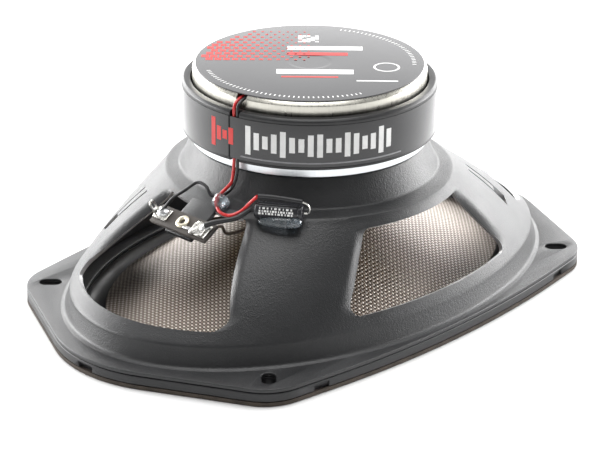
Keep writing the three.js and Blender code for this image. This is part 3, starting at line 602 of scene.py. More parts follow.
def slab(name, size, centre, material, bevel=0.2, turn=0.0):
    """A block with eased edges, turned about Z."""
    work = bmesh.new()
    bmesh.ops.create_cube(work, size=1)
    bmesh.ops.scale(work, vec=[s * MM for s in size], verts=work.verts)
    if bevel:
        bmesh.ops.bevel(work, geom=work.edges[:], offset=bevel * MM, segments=2, affect="EDGES", profile=0.5)
    bmesh.ops.rotate(work, matrix=Matrix.Rotation(turn, 3, "Z"), verts=work.verts)
    bmesh.ops.translate(work, vec=[c * MM for c in centre], verts=work.verts)
    obj = object_from(name, work, material)
    soften_shading(obj)
    return obj


def merged(name, objects):
    """One object from several, each keeping its own material."""
    work = bmesh.new()
    materials = []
    for obj in objects:
        start = len(work.faces)
        work.from_mesh(obj.data)
        work.faces.ensure_lookup_table()
        for face in work.faces[start:]:
            material = obj.data.materials[face.material_index]
            if material not in materials:
                materials.append(material)
            face.material_index = materials.index(material)
    result = object_from(name, work, *materials)
    for obj in objects:
        bpy.data.objects.remove(obj)
    return result


def polar(radius, degrees, z=0.0):
    """A point at a distance and an angle about Z."""
    angle = math.radians(degrees)
    return Vector((radius * math.cos(angle), radius * math.sin(angle), z))


# ------------------------------------------------------------------ geometry node trees


def new_tree(name, inputs):
    """An empty tree with its sockets, its input node and its output node."""
    tree = bpy.data.node_groups.new(name, "GeometryNodeTree")
    tree.interface.new_socket("Geometry", in_out="INPUT", socket_type="NodeSocketGeometry")
    for label, kind in inputs:
        tree.interface.new_socket(label, in_out="INPUT", socket_type=kind)
    tree.interface.new_socket("Geometry", in_out="OUTPUT", socket_type="NodeSocketGeometry")
    start = tree.nodes.new("NodeGroupInput")
    end = tree.nodes.new("NodeGroupOutput")
    return tree, start, end


def finish_tree(tree, end, geometry):
    """Every tree ends by making its instances real and setting the material."""
    start = tree.nodes["Group Input"]
    real = tree.nodes.new("GeometryNodeRealizeInstances")
    paint = tree.nodes.new("GeometryNodeSetMaterial")
    tree.links.new(geometry, real.inputs[0])
    tree.links.new(real.outputs[0], paint.inputs["Geometry"])
    tree.links.new(start.outputs["Material"], paint.inputs["Material"])
    tree.links.new(paint.outputs[0], end.inputs[0])
    return tree


def wire_tree():
    """A round jacket drawn along the path that comes in as edges."""
    tree, start, end = new_tree("Round wire on a path", [
        ("Radius", "NodeSocketFloat"), ("Sides", "NodeSocketInt"), ("Material", "NodeSocketMaterial")])
    path = tree.nodes.new("GeometryNodeMeshToCurve")
    section = tree.nodes.new("GeometryNodeCurvePrimitiveCircle")
    sweep = tree.nodes.new("GeometryNodeCurveToMesh")
    sweep.inputs["Fill Caps"].default_value = True
    links = tree.links
    links.new(start.outputs["Geometry"], path.inputs["Mesh"])
    links.new(start.outputs["Sides"], section.inputs["Resolution"])
    links.new(start.outputs["Radius"], section.inputs["Radius"])
    links.new(path.outputs[0], sweep.inputs["Curve"])
    links.new(section.outputs[0], sweep.inputs["Profile Curve"])
    return finish_tree(tree, end, sweep.outputs[0])


def arc_tree():
    """Copies of the mark that comes in, stood along an arc about Z, with heights that rise and fall."""
    tree, start, end = new_tree("Marks along an arc", [
        ("Count", "NodeSocketInt"), ("Radius", "NodeSocketFloat"), ("Level", "NodeSocketFloat"),
        ("First angle", "NodeSocketFloat"), ("Step angle", "NodeSocketFloat"),
        ("Height swing", "NodeSocketFloat"), ("Material", "NodeSocketMaterial")])
    nodes, links = tree.nodes, tree.links

    def maths(operation, first, second=None):
        node = nodes.new("ShaderNodeMath")
        node.operation = operation
        for socket, value in zip(node.inputs, (first, second)):
            if isinstance(value, (int, float)):
                socket.default_value = value
            elif value is not None:
                links.new(value, socket)
        return node.outputs[0]

    line = nodes.new("GeometryNodeMeshLine")
    index = nodes.new("GeometryNodeInputIndex").outputs[0]
    angle = maths("ADD", start.outputs["First angle"], maths("MULTIPLY", index, start.outputs["Step angle"]))
    place = nodes.new("ShaderNodeCombineXYZ")
    move = nodes.new("GeometryNodeSetPosition")
    turn = nodes.new("ShaderNodeCombineXYZ")
    grow = nodes.new("ShaderNodeCombineXYZ")
    stand = nodes.new("GeometryNodeInstanceOnPoints")
    links.new(start.outputs["Count"], line.inputs["Count"])
    links.new(maths("MULTIPLY", start.outputs["Radius"], maths("COSINE", angle)), place.inputs[0])
    links.new(maths("MULTIPLY", start.outputs["Radius"], maths("SINE", angle)), place.inputs[1])
    links.new(start.outputs["Level"], place.inputs[2])
    links.new(line.outputs[0], move.inputs["Geometry"])
    links.new(place.outputs[0], move.inputs["Position"])
    links.new(angle, turn.inputs[2])
    wave = maths("ABSOLUTE", maths("SINE", maths("MULTIPLY", index, 0.83)))
    swing = maths("SUBTRACT", 1.0, maths("MULTIPLY", wave, start.outputs["Height swing"]))
    grow.inputs[0].default_value = 1.0
    grow.inputs[1].default_value = 1.0
    links.new(swing, grow.inputs[2])
    links.new(move.outputs[0], stand.inputs["Points"])
    links.new(start.outputs["Geometry"], stand.inputs["Instance"])
    links.new(turn.outputs[0], stand.inputs["Rotation"])
    links.new(grow.outputs[0], stand.inputs["Scale"])
    return finish_tree(tree, end, stand.outputs[0])


WIRE_TREE = wire_tree()
ARC_TREE = arc_tree()


def grown(obj, tree, **values):
    """Runs a tree on the object with the named inputs and keeps the result as plain mesh."""
    modifier = obj.modifiers.new("grow", "NODES")
    modifier.node_group = tree
    for item in tree.interface.items_tree:
        if item.in_out == "INPUT" and item.name.replace(" ", "_") in values:
            modifier[item.identifier] = values[item.name.replace(" ", "_")]
    applied(obj)
    return obj


def marks_on_arc(mark, material, count, radius, level, first, step, swing=0.0):
    """Copies of a mark along an arc, its angles in degrees."""
    return grown(mark, ARC_TREE, Count=count, Radius=radius * MM, Level=level * MM,
                 First_angle=math.radians(first), Step_angle=math.radians(step),
                 Height_swing=swing, Material=material)


def spline_through(points, per_span=10):
    """A smooth run through the points, spaced by the square root of each gap."""
    ends = [2 * points[0] - points[1], *points, 2 * points[-1] - points[-2]]
    out = []
    for p0, p1, p2, p3 in zip(ends, ends[1:], ends[2:], ends[3:]):
        t0 = 0.0
        t1 = t0 + max((p1 - p0).length, 1e-4) ** 0.5
        t2 = t1 + max((p2 - p1).length, 1e-4) ** 0.5
        t3 = t2 + max((p3 - p2).length, 1e-4) ** 0.5
        for i in range(per_span):
            t = t1 + (t2 - t1) * i / per_span
            a1 = (t1 - t) / (t1 - t0) * p0 + (t - t0) / (t1 - t0) * p1
            a2 = (t2 - t) / (t2 - t1) * p1 + (t - t1) / (t2 - t1) * p2
            a3 = (t3 - t) / (t3 - t2) * p2 + (t - t2) / (t3 - t2) * p3
            b1 = (t2 - t) / (t2 - t0) * a1 + (t - t0) / (t2 - t0) * a2
            b2 = (t3 - t) / (t3 - t1) * a2 + (t - t1) / (t3 - t1) * a3
            out.append((t2 - t) / (t2 - t1) * b1 + (t - t1) / (t2 - t1) * b2)
    out.append(points[-1])
    return out


def wire(name, points, radius, material, sides=14):
    """A round wire through given points."""
    path = spline_through([Vector(p) for p in points])
    mesh = bpy.data.meshes.new(name)
    mesh.from_pydata([tuple(p * MM) for p in path], [(i, i + 1) for i in range(len(path) - 1)], [])
    obj = bpy.data.objects.new(name, mesh)
    bpy.context.scene.collection.objects.link(obj)
    grown(obj, WIRE_TREE, Radius=radius * MM, Sides=sides, Material=material)
    tidy_mesh(obj.data)
    soften_shading(obj, 50)
    return obj


# ------------------------------------------------------------------ flange, trim ring and gasket


def belt(circles, arc_steps=14):
    """The outline of a belt pulled round circles (x, y, radius), counter-clockwise."""
    leans = []
    for (x, y, r), (nx, ny, nr) in zip(circles, circles[1:] + circles[:1]):
        run = math.hypot(nx - x, ny - y)
        leans.append(math.atan2(ny - y, nx - x) - math.acos((r - nr) / run))
    outline = []
    for i, (x, y, r) in enumerate(circles):
        start, end = leans[i - 1], leans[i]
        while end < start:
            end += 2 * math.pi
        while end - start > 2 * math.pi:
            end -= 2 * math.pi
        for k in range(arc_steps + 1):
            angle = start + (end - start) * k / arc_steps
            outline.append((x + r * math.cos(angle), y + r * math.sin(angle)))
    return outline


def flange_outline():
    """The outline that the flange, the trim ring and the gasket share: two ends, two sides and four ears."""
    end = FLANGE_A - END_RADIUS
    side = FLANGE_B - SIDE_RADIUS
    return belt([
        (end, 0, END_RADIUS), (EAR_X, EAR_Y, EAR_RADIUS), (0, side, SIDE_RADIUS), (-EAR_X, EAR_Y, EAR_RADIUS),
        (-end, 0, END_RADIUS), (-EAR_X, -EAR_Y, EAR_RADIUS), (0, -side, SIDE_RADIUS),
        (EAR_X, -EAR_Y, EAR_RADIUS)])


def slot_holes():
    """A slot in each ear, lying along 45 degrees."""
    holes = []
    reach = (HOLE_LENGTH - HOLE_WIDTH) / 2 * math.sqrt(0.5)
    for sx, sy in CORNERS:
        x, y = sx * HOLE_X, sy * HOLE_Y
        holes.append(belt([(x + sx * reach, y + sy * reach, HOLE_WIDTH / 2),
                           (x - sx * reach, y - sy * reach, HOLE_WIDTH / 2)], 12))
    return holes


def plate_from(name, outline, holes, low, high, material, edge):
    """A flat plate with holes and eased edges."""
    curve = bpy.data.curves.new(name, "CURVE")
    curve.dimensions = "2D"
    curve.fill_mode = "BOTH"
    curve.extrude = ((high - low) / 2 - edge) * MM
    curve.bevel_depth = edge * MM
    curve.bevel_resolution = 2
    curve.offset = -edge * MM
    for loop in (outline, *holes):
        spline = curve.splines.new("POLY")
        spline.points.add(len(loop) - 1)
        spline.use_cyclic_u = True
        for point, (x, y) in zip(spline.points, loop):
            point.co = (x * MM, y * MM, 0, 1)
    maker = bpy.data.objects.new(name + "_outline", curve)
    bpy.context.scene.collection.objects.link(maker)
    bpy.context.view_layer.update()
    mesh = bpy.data.meshes.new_from_object(maker.evaluated_get(bpy.context.evaluated_depsgraph_get()))
    bpy.data.objects.remove(maker)
    mesh.transform(Matrix.Translation((0, 0, (low + high) / 2 * MM)))
    mesh.materials.clear()
    tidy_mesh(mesh)
    mesh.materials.append(material)
    obj = bpy.data.objects.new(name, mesh)
    bpy.context.scene.collection.objects.link(obj)
    soften_shading(obj, 40)
    return obj


def flange_plate():
    plate = plate_from("basket_flange", flange_outline(), [oval(WALL_A - 6.8, WALL_B - 6.8), *slot_holes()],
                       FLANGE_Z, FLANGE_TOP, COAT, 0.3)
    return settle(plate, FRAME_BODY, ["basket"])


def trim_ring():
    """A moulding under the flange, with a notch in each end and beside each ear."""
    low, high = span("trim_ring")
    opening = oval(SURROUND_A + SURROUND_GAP, SURROUND_B + SURROUND_GAP)
    ring = plate_from("trim_ring_moulding", flange_outline(), [opening, *slot_holes()],
                      low[2], high[2], PLASTIC, 0.45)
    depth = 1.5
    height = high[2] - low[2] - 1
    level = low[2] + height / 2 - 0.5
    cutters = []
    for end in (1, -1):
        cutters.append(slab("notch", (2 * depth, 7.6, height + 1), (end * FLANGE_A, 0, level), PLASTIC, 0))
    for sx, sy in CORNERS:
        cutters.append(slab("notch", (7, 2 * depth, height + 1),
                            (sx * (EAR_X - 8.2), sy * (FLANGE_B - 5.2), level), PLASTIC, 0,
                            -sx * sy * math.radians(11)))
    cut_away(ring, *cutters)
    return settle(ring, FRAME_BODY, ["trim_ring"])


def front_gasket():
    low, high = span("front_gasket")
    opening = oval(SURROUND_A + SURROUND_GAP, SURROUND_B + SURROUND_GAP)
    gasket = plate_from("front_gasket_fibre", flange_outline(), [opening, *slot_holes()],
                        low[2], high[2], GASKET, 0.2)
    return settle(gasket, FRAME_BODY, ["front_gasket"])


# ------------------------------------------------------------------ basket


def wall_profile():
    """Rows from the flange to the windows' feet as (half length, half width, z)."""

    def drawn_in(inset, z):
        return WALL_A - inset, WALL_B - inset, z

    wall = [drawn_in(-2.4, FLANGE_TOP - 0.1), drawn_in(-0.5, FLANGE_TOP + 0.5),
            drawn_in(0.1, FLANGE_TOP + 2.2), drawn_in(WALL_DRAFT * 0.8, WALL_TOP - 1.6)]
    return bent([*wall, loft(WALL_TOP - 0.2), loft(WALL_TOP + 2)], 2.2, 4)


def loft(z):
    """Half length and half width of the body's outer face at a height between wall top and ledge."""
    t = (LEDGE_Z - z) / (LEDGE_Z - WALL_TOP)
    spread = t + BULGE * math.sin(math.pi * t)
    a = LEDGE_RADIUS + (WALL_A - WALL_DRAFT - LEDGE_RADIUS) * spread
    b = LEDGE_RADIUS + (WALL_B - WALL_DRAFT - LEDGE_RADIUS) * spread
    return a, b, z


def window_rows(window):
    """Heights and half widths of a window's side edge, from its foot to its head."""
    foot_x = window["foot"] / 2 - FOOT_CORNER * 1.25
    head_x = window["head"] / 2 - HEAD_CORNER * 0.75
    foot_z = FOOT_Z + FOOT_CORNER
    head_z = LEDGE_Z - window["drop"] - HEAD_CORNER
    run = math.hypot(foot_x - head_x, head_z - foot_z)
    tilt = math.atan2(foot_x - head_x, head_z - foot_z) + math.asin((FOOT_CORNER - HEAD_CORNER) / run)
    rows = []
    for i in range(9):
        angle = -math.pi / 2 + (math.pi / 2 + tilt) * i / 8
        rows.append((foot_z + FOOT_CORNER * math.sin(angle), foot_x + FOOT_CORNER * math.cos(angle)))
    upper = []
    for i in range(7):
        angle = tilt + (math.pi / 2 - tilt) * i / 6
        upper.append((head_z + HEAD_CORNER * math.sin(angle), head_x + HEAD_CORNER * math.cos(angle)))
    (z0, w0), (z1, w1) = rows[-1], upper[0]
    straight = [(z0 + (z1 - z0) * i / 16, w0 + (w1 - w0) * i / 16) for i in range(1, 16)]
    return rows + straight + upper


def spoke_shares(length):
    """Shares across a spoke, close together near the rolled edges."""
    reach = min(5, length * 0.3)
    near = [reach * distance / 5 / length for distance in (0, 0.5, 1.0, 1.6, 2.3, 3.1, 4.0, 5.0)]
    middle = [near[-1] + (1 - 2 * near[-1]) * i / 9 for i in range(1, 9)]
    return near + middle + [1 - share for share in reversed(near)]


def spoke_edges(end_row, side_row):
    """The angles of a spoke's two edges in the first quarter turn, and the spoke's width."""
    (end_z, end_w), (side_z, side_w) = end_row, side_row
    first = math.asin(end_w / loft(end_z)[1])
    last = math.acos(side_w / loft(side_z)[0])
    a, b, _ = loft((end_z + side_z) / 2)
    length = math.hypot(a * (math.cos(first) - math.cos(last)), b * (math.sin(last) - math.sin(first)))
    return first, last, length


def basket_grid():
    """Rows of (angle, z, roll) over a quarter turn: half an end window, a spoke, half a side window."""
    end_rows, side_rows = window_rows(END_WINDOW), window_rows(SIDE_WINDOW)
    count = len(end_rows)
    rows = []
    for r, (end_row, side_row) in enumerate(zip(end_rows, side_rows)):
        first, last, length = spoke_edges(end_row, side_row)
        shares = spoke_shares(length)
        fade = math.sin(math.pi / 2 * min(1, r / 18, (count - 1 - r) / 10)) ** 2
        row = []
        for i in range(WINDOW_COLUMNS):
            row.append((first * i / WINDOW_COLUMNS, end_row[0], 0.0))
        for share in shares:
            edge = min(share, 1 - share) * length
            roll = ROLL_DEPTH * max(0.0, 1 - edge / ROLL_REACH) ** 2 * fade
            z = end_row[0] + (side_row[0] - end_row[0]) * share
            row.append((first + (last - first) * share, z, roll))
        for i in range(1, WINDOW_COLUMNS + 1):
            row.append((last + (math.pi / 2 - last) * i / WINDOW_COLUMNS, side_row[0], 0.0))
        rows.append(row)
    return rows


def body_point(angle, z, roll):
    """A point on the body's outer face, sunk inwards and down by the roll of a spoke's edge."""
    a, b, _ = loft(z)
    point = Vector((a * math.cos(angle), b * math.sin(angle), z))
    if roll:
        outward = Vector((math.cos(angle) / a, math.sin(angle) / b, 0)).normalized()
        point -= (outward * 0.75 + Vector((0, 0, 0.65))) * roll
    return point


def all_round(quarter):
    """A whole turn of points from one quarter of (angle, ...) entries, by mirroring."""
    turn = list(quarter)
    turn += [(math.pi - angle, *rest) for angle, *rest in reversed(quarter[:-1])]
    turn += [(math.pi + angle, *rest) for angle, *rest in quarter[1:]]
    turn += [(2 * math.pi - angle, *rest) for angle, *rest in reversed(quarter[1:-1])]
    return turn


def basket_rings(grid):
    """Closed rings of points from the flange to the seat, and which ring starts and ends the windows."""
    foot, head = all_round(grid[0]), all_round(grid[-1])
    rings = []
    for a, b, z in wall_profile()[:-1]:
        rings.append([Vector((a * math.cos(t), b * math.sin(t), z)) for t, *_ in foot])
    for z in (WALL_TOP + 2.4, FOOT_Z - 0.8):
        rings.append([body_point(t, z, 0) for t, *_ in foot])
    first_window = len(rings)
    for row in grid:
        rings.append([body_point(t, z, roll) for t, z, roll in all_round(row)])
    last_window = len(rings) - 1
    for share in (0.4, 0.75):
        rings.append([body_point(t, z + (LEDGE_Z - 0.5 - z) * share, 0) for t, z, _ in head])
    neck = bent([(LEDGE_RADIUS + 1.3, LEDGE_Z - 0.6), (LEDGE_RADIUS, LEDGE_Z), (NECK_RADIUS, NECK_Z),
                 (SEAT_RADIUS, SEAT_Z), (BELL_RADIUS, SEAT_Z)], 0.9, 4)
    for radius, z in neck[1:]:
        rings.append([Vector((radius * math.cos(t), radius * math.sin(t), z)) for t, *_ in head])
    return rings, first_window, last_window


def basket_body():
    """The pressed body: a sheet with four windows, given its thickness, then two lanced spokes."""
    grid = basket_grid()
    rings, first_window, last_window = basket_rings(grid)
    columns = len(rings[0])
    open_columns = window_columns(len(grid[0]))
    faces = []
    for r in range(len(rings) - 1):
        in_window = first_window <= r < last_window
        for c in range(columns):
            if in_window and c in open_columns:
                continue
            n = (c + 1) % columns
            faces.append((r * columns + c, r * columns + n, (r + 1) * columns + n, (r + 1) * columns + c))
    mesh = bpy.data.meshes.new("basket_body")
    mesh.from_pydata([tuple(point * MM) for ring in rings for point in ring], [], faces)
    drop_loose(mesh)
    mesh.materials.append(COAT)
    mesh.materials.append(CUT_EDGE)
    obj = bpy.data.objects.new("basket_body", mesh)
    bpy.context.scene.collection.objects.link(obj)
    wall = obj.modifiers.new("wall", "SOLIDIFY")
    wall.thickness = SHEET * MM
    wall.offset = -1
    wall.use_even_offset = False
    wall.material_offset_rim = 1
    applied(obj)
    cut_away(obj, *[lance_cutter(angle) for angle in LANCE_ANGLES])
    soften_shading(obj, 38)
    return settle(obj, FRAME_BODY, ["basket"])


def window_columns(quarter_length):
    """Columns of faces that lie in a window, for a whole turn made of mirrored quarters."""
    spoke_start = WINDOW_COLUMNS
    spoke_end = quarter_length - 1 - WINDOW_COLUMNS
    columns = set()
    last = quarter_length - 1
    for quarter in range(4):
        for i in range(last):
            local = i if quarter % 2 == 0 else last - 1 - i
            if local < spoke_start or local >= spoke_end:
                columns.add(quarter * last + i)
    return columns


def drop_loose(mesh):
    """Drops the points that no face uses and turns the sheet's faces outwards."""
    work = bmesh.new()
    work.from_mesh(mesh)
    bmesh.ops.delete(work, geom=[v for v in work.verts if not v.link_faces], context="VERTS")
    bmesh.ops.recalc_face_normals(work, faces=work.faces)
    top = max(work.faces, key=lambda f: f.calc_center_median().z)
    if top.normal.z < 0:
        bmesh.ops.reverse_faces(work, faces=work.faces)
    work.to_mesh(mesh)
    work.free()


def lance_cutter(degrees):
    """The narrow U that frees a tongue in a spoke."""
    inner, length, width, tongue = LEDGE_RADIUS + 8.5, 17, 6.2, 3.6
    tongue_end = inner + 11.5
    half, lip = width / 2, tongue / 2
    outline = [(inner, -half), (inner + length, -half), (inner + length, half), (inner, half),
               (inner, lip), (tongue_end, lip), (tongue_end, -lip), (inner, -lip)]
    low, high = WALL_TOP, LEDGE_Z
    count = len(outline)
    points = [(x, y, z) for z in (low, high) for x, y in outline]
    faces = [tuple(reversed(range(count))), tuple(range(count, 2 * count))]
    faces += [(i, (i + 1) % count, count + (i + 1) % count, count + i) for i in range(count)]
    cutter = piece_from("lance", points, faces, CUT_EDGE, smooth=False)
    cutter.data.transform(Matrix.Rotation(math.radians(degrees), 4, "Z"))
    return cutter


def on_board(across, along, off):
    """A point in the terminal board's own frame: across it, along it and off its face."""
    lean, rise = math.sin(BOARD_TILT), math.cos(BOARD_TILT)
    return Vector((BOARD_X + across * rise - off * lean, along, BOARD_Z + across * lean + off * rise))


def onto_board(obj):
    """Moves a mesh built flat about the origin onto the tilted board."""
    place = Matrix.Translation(Vector((BOARD_X, 0, BOARD_Z)) * MM) @ Matrix.Rotation(-BOARD_TILT, 4, "Y")
    obj.data.transform(place)
    return obj


def terminal_tab():
    """The tongue of sheet that runs down the body's slope under the terminal board."""
    face, sheet = -BOARD_THICKNESS - 0.2, 2.0
    root = BOARD_REACH / math.cos(BOARD_TILT) - 1.6
    tip = -BOARD_WIDTH / 2 - 0.6
    tab = slab("terminal_tab", (root - tip, 14, sheet), ((root + tip) / 2, 0, face - sheet / 2), COAT, 0.5)
    return settle(onto_board(tab), FRAME_BODY, ["basket"])


# ------------------------------------------------------------------ motor


def wire_notch(outer, inner, low, high):
    """A cutter for the channel that the tweeter's wires run in."""
    middle = polar((outer + inner) / 2, WIRE_ANGLE, (low + high) / 2)
    return slab("notch", (outer - inner, GROOVE_WIDTH, high - low), middle, BOOT_RUBBER, 0,
                math.radians(WIRE_ANGLE))


def front_plate():
    inner = span("voice_coil_winding")[1][0] + 0.6
    plate = turned("front_plate_ring", [
        (inner, PLATE_Z), (PLATE_RADIUS, PLATE_Z), (PLATE_RADIUS, PLATE_TOP), (inner, PLATE_TOP)],
        FRONT_ZINC_PAINTED_BRIGHT, 192, 0.5)
    return settle(plate, FRAME_BODY, ["front_plate"])


def yoke():
    pole = FORMER_RADIUS - 0.3 - 0.6
    body = turned("yoke_plate_and_pole", [
        (4.3, PLATE_Z), (pole, PLATE_Z), (pole, BACK_Z), (BACK_RADIUS, BACK_Z),
        (BACK_RADIUS, REAR_FACE - 1.3), (BACK_RADIUS - 1.3, REAR_FACE),
        (8, REAR_FACE), (8, BACK_Z), (4.3, BACK_Z)], ZINC, 192, 0.22)
    cut_away(body, wire_notch(BACK_RADIUS + 2, 0, REAR_FACE - 2.4, REAR_FACE + 1),
             wire_notch(BACK_RADIUS + 2, BACK_RADIUS - 2, BACK_Z - 1, REAR_FACE + 1.5))
    soften_shading(body)
    return settle(body, FRAME_BODY, ["yoke"])


def magnet_boot():
    inner, seat = BACK_RADIUS + 0.8, PLATE_RADIUS + 0.2
    skin_radius = BOOT_RADIUS - WRAP_THICKNESS - 0.1
    rim, chamfer = 1.2, 0.9
    body = turned("magnet_boot_rubber", [
        (seat, BOOT_Z), (BOOT_RADIUS - 0.4, BOOT_Z), (BOOT_RADIUS, BOOT_Z + 0.4), (BOOT_RADIUS, BOOT_Z + rim),
        (skin_radius, BOOT_Z + rim), (skin_radius, BOOT_TOP - rim - chamfer),
        (BOOT_RADIUS, BOOT_TOP - rim - chamfer), (BOOT_RADIUS, BOOT_TOP - chamfer),
        (BOOT_RADIUS - chamfer, BOOT_TOP), (inner, BOOT_TOP), (inner, BOOT_Z + 1), (seat, BOOT_Z + 1)],
        BOOT_RUBBER, 192, 0.25)
    cut_away(body, wire_notch(skin_radius + 2, skin_radius - 2.2, BOOT_Z - 1, BOOT_TOP + 1))
    soften_shading(body)
    return settle(body, FRAME_BODY, ["magnet_boot"])


def boot_wrap():
    low, high = span("boot_wrap")
    body = turned("boot_wrap_film", [
        (BOOT_RADIUS - WRAP_THICKNESS, low[2]), (BOOT_RADIUS, low[2]), (BOOT_RADIUS, high[2]),
        (BOOT_RADIUS - WRAP_THICKNESS, high[2])], WRAP_FILM, 192, 0.06)
    seam = polar(BOOT_RADIUS, WIRE_ANGLE - 2.6, (low[2] + high[2]) / 2)
    cut_away(body, slab("seam", (4, 0.8, high[2] - low[2] + 2), seam, WRAP_FILM, 0,
                        math.radians(WIRE_ANGLE - 2.6)))
    soften_shading(body)
    return settle(body, FRAME_BODY, ["boot_wrap"])


def rear_label():
    low = span("rear_label")[0][2]
    body = turned("rear_label_disc", [
        (0, low), (LABEL_RADIUS, low), (LABEL_RADIUS, LABEL_TOP), (9, LABEL_TOP), (7.4, LABEL_TOP - 0.12),
        (0, LABEL_TOP - 0.12)], LABEL_FILM, 160, 0.12)
    return settle(body, FRAME_BODY, ["rear_label"])


def bar(width, height, depth=0.1):
    """A small upright mark whose face looks along X, centred on the origin."""
    return slab("mark", (depth, width, height), (0, 0, 0), WHITE_INK, 0)


def wrap_print():
    """Plain level-meter bars printed round the wrap in place of a name."""
    low, high = span("boot_wrap")
    middle = (low[2] + high[2]) / 2 + 0.3
    radius = BOOT_RADIUS + 0.02
    meter = marks_on_arc(bar(2.2, 11.5), WHITE_INK, 17, radius, middle, 196, 4.0, 0.55)
    red = marks_on_arc(bar(2.2, 11.5), RED_INK, 4, radius, middle, 177, 3.4, 0.7)
    line = marks_on_arc(bar(1.1, 0.6), GREY_INK, 60, radius, low[2] + 1.6, 193, 1.25)
    far = marks_on_arc(bar(2.2, 11.5), WHITE_INK, 17, radius, middle, 16, 4.0, 0.55)
    marks = merged("wrap_print", [meter, red, line, far])
    return settle(marks, FRAME_BODY)


def flat_mark(size, centre, material, turn):
    """A printed block on the label."""
    return slab("mark", (*size, PRINT_DEPTH), (*centre, LABEL_TOP + 0.01), material, 0, turn)


def rim_ticks(count, first):
    """Short ticks round the label's rim."""
    tick = slab("tick", (1.6, 0.5, PRINT_DEPTH), (0, 0, 0), WHITE_INK, 0)
    return marks_on_arc(tick, WHITE_INK, count, LABEL_RADIUS - 4, LABEL_TOP + 0.01, first, 2.6)


def label_print():
    """Plain shapes on the rear label: a dotted patch, ticks near the rim, bars, a ring and a grid."""
    toward = CAMERA_AZIMUTH
    across = Vector((math.cos(toward), math.sin(toward)))
    deep = Vector((-math.sin(toward), math.cos(toward)))

    def at(u, v):
        return tuple(across * u + deep * v)

    marks = []
    pitch = 3.4
    for row in range(11):
        for column in range(13):
            u, v = -43 + (column + row % 2 * 0.5) * pitch, 2 + row * pitch
            if math.hypot(u, v) < LABEL_RADIUS - 2.4:
                size = pitch * max(0.25, 0.92 - 0.055 * column - 0.02 * row)
                marks.append(flat_mark((size, size), at(u, v), RED_INK, toward))
    for width, height, u, v, ink in ((30, 4.6, 6, 16, WHITE_INK), (24, 3.6, 3, 9, RED_INK),
                                     (30, 5.2, 2, -12, WHITE_INK), (22, 1.6, 0, -18, RED_INK),
                                     (16, 1.2, 26, -22, WHITE_INK)):
        marks.append(flat_mark((width, height), at(u, v), ink, toward))
    for i in range(5):
        for j in range(5):
            if (i * 3 + j * 5) % 4 != 1:
                marks.append(flat_mark((1.5, 1.5), at(-4 + i * 1.7, 24 + j * 1.7), WHITE_INK, toward))
    badge = turned("badge", [(4.4, LABEL_TOP - 0.05), (5.2, LABEL_TOP - 0.05), (5.2, LABEL_TOP + 0.05),
                             (4.4, LABEL_TOP + 0.05)], WHITE_INK, 64, 0.02, at(30, -6))
    art = merged("label_print", [*marks, rim_ticks(30, -50), rim_ticks(40, 150), badge])
    return settle(art, FRAME_BODY)


# ------------------------------------------------------------------ cone, surround, spider and coil


def cone_row(t, lift):
    """A row of the cone at a share of the way from its edge to its neck."""
    neck = FORMER_RADIUS + 0.5
    share = 1 - t
    return (neck + (CONE_A - neck) * share, neck + (CONE_B - neck) * share,
            CONE_EDGE_Z + (CONE_NECK_Z - CONE_EDGE_Z) * t ** 1.12 + lift)


def cone():
    steps = [i / 28 for i in range(29)]
    collar = span("cone")[1][2]
    neck = FORMER_RADIUS + 0.1
    rows = [cone_row(t, 0.8) for t in steps]
    rows += [(neck + 0.6, neck + 0.6, collar), (neck, neck, collar), (neck, neck, CONE_NECK_Z - 0.4)]
    rows += [cone_row(t, 0) for t in reversed(steps[:-1])]
    body = oval_turned("woven_cone", rows, WEAVE)
    return settle(body, CONE_BODY, ["cone"])


def surround_rows():
    """Outer lip, half roll and inner lip of the rubber edge, as (inset, z)."""
    thickness, depth, lip = SURROUND_SHEET, 3.4, SURROUND_LIP
    roll_half = (SURROUND_A - lip - CONE_A) / 2 + 0.1
    middle = lip + roll_half
    inner_end = middle + roll_half + 2
    half = thickness / 2
    z = SURROUND_LIP_Z
    arc = [math.pi * i / 24 for i in range(25)]
    front = [(middle - (roll_half + half) * math.cos(t), z - (depth + half) * math.sin(t)) for t in arc]
    back = [(middle - (roll_half - half) * math.cos(t), z - (depth - half) * math.sin(t)) for t in arc]
    return ([(0, z + thickness), (0, z)] + front + [(inner_end, z), (inner_end, z + thickness)]
            + [(inset, height + (thickness * 0.5 if 0 < i < 24 else thickness))
               for i, (inset, height) in reversed(list(enumerate(back)))])


def surround():
    rows = [(SURROUND_A - inset, SURROUND_B - inset, z) for inset, z in surround_rows()]
    body = oval_turned("rubber_surround", rows, RUBBER)
    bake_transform(body, FRAME_BODY, CONE_BODY, (SURROUND_A * MM, 0, 0), (CONE_A * MM, 0, 0))
    weights_by_inset(body, SURROUND_LIP, SURROUND_LIP + SURROUND_FLEX, SURROUND_A, SURROUND_B)
    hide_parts("surround")
    return body


def eased(value):
    """A smooth step from 0 to 1."""
    share = min(1, max(0, value))
    return share * share * (3 - 2 * share)


def weights_by_inset(obj, start, end, a, b):
    """Sets how much of the cone's travel each point follows, by its distance in from the outer edge."""
    attribute = obj.data.attributes["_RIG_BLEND"]
    for vertex, item in zip(obj.data.vertices, attribute.data):
        x, y = vertex.co.x / MM, vertex.co.y / MM
        low, high = 0.0, 30.0
        for _ in range(24):
            inset = (low + high) / 2
            inside = (x / (a - inset)) ** 2 + (y / (b - inset)) ** 2 < 1
            low, high = (inset, high) if inside else (low, inset)
        item.value = eased((low - start) / (end - start))


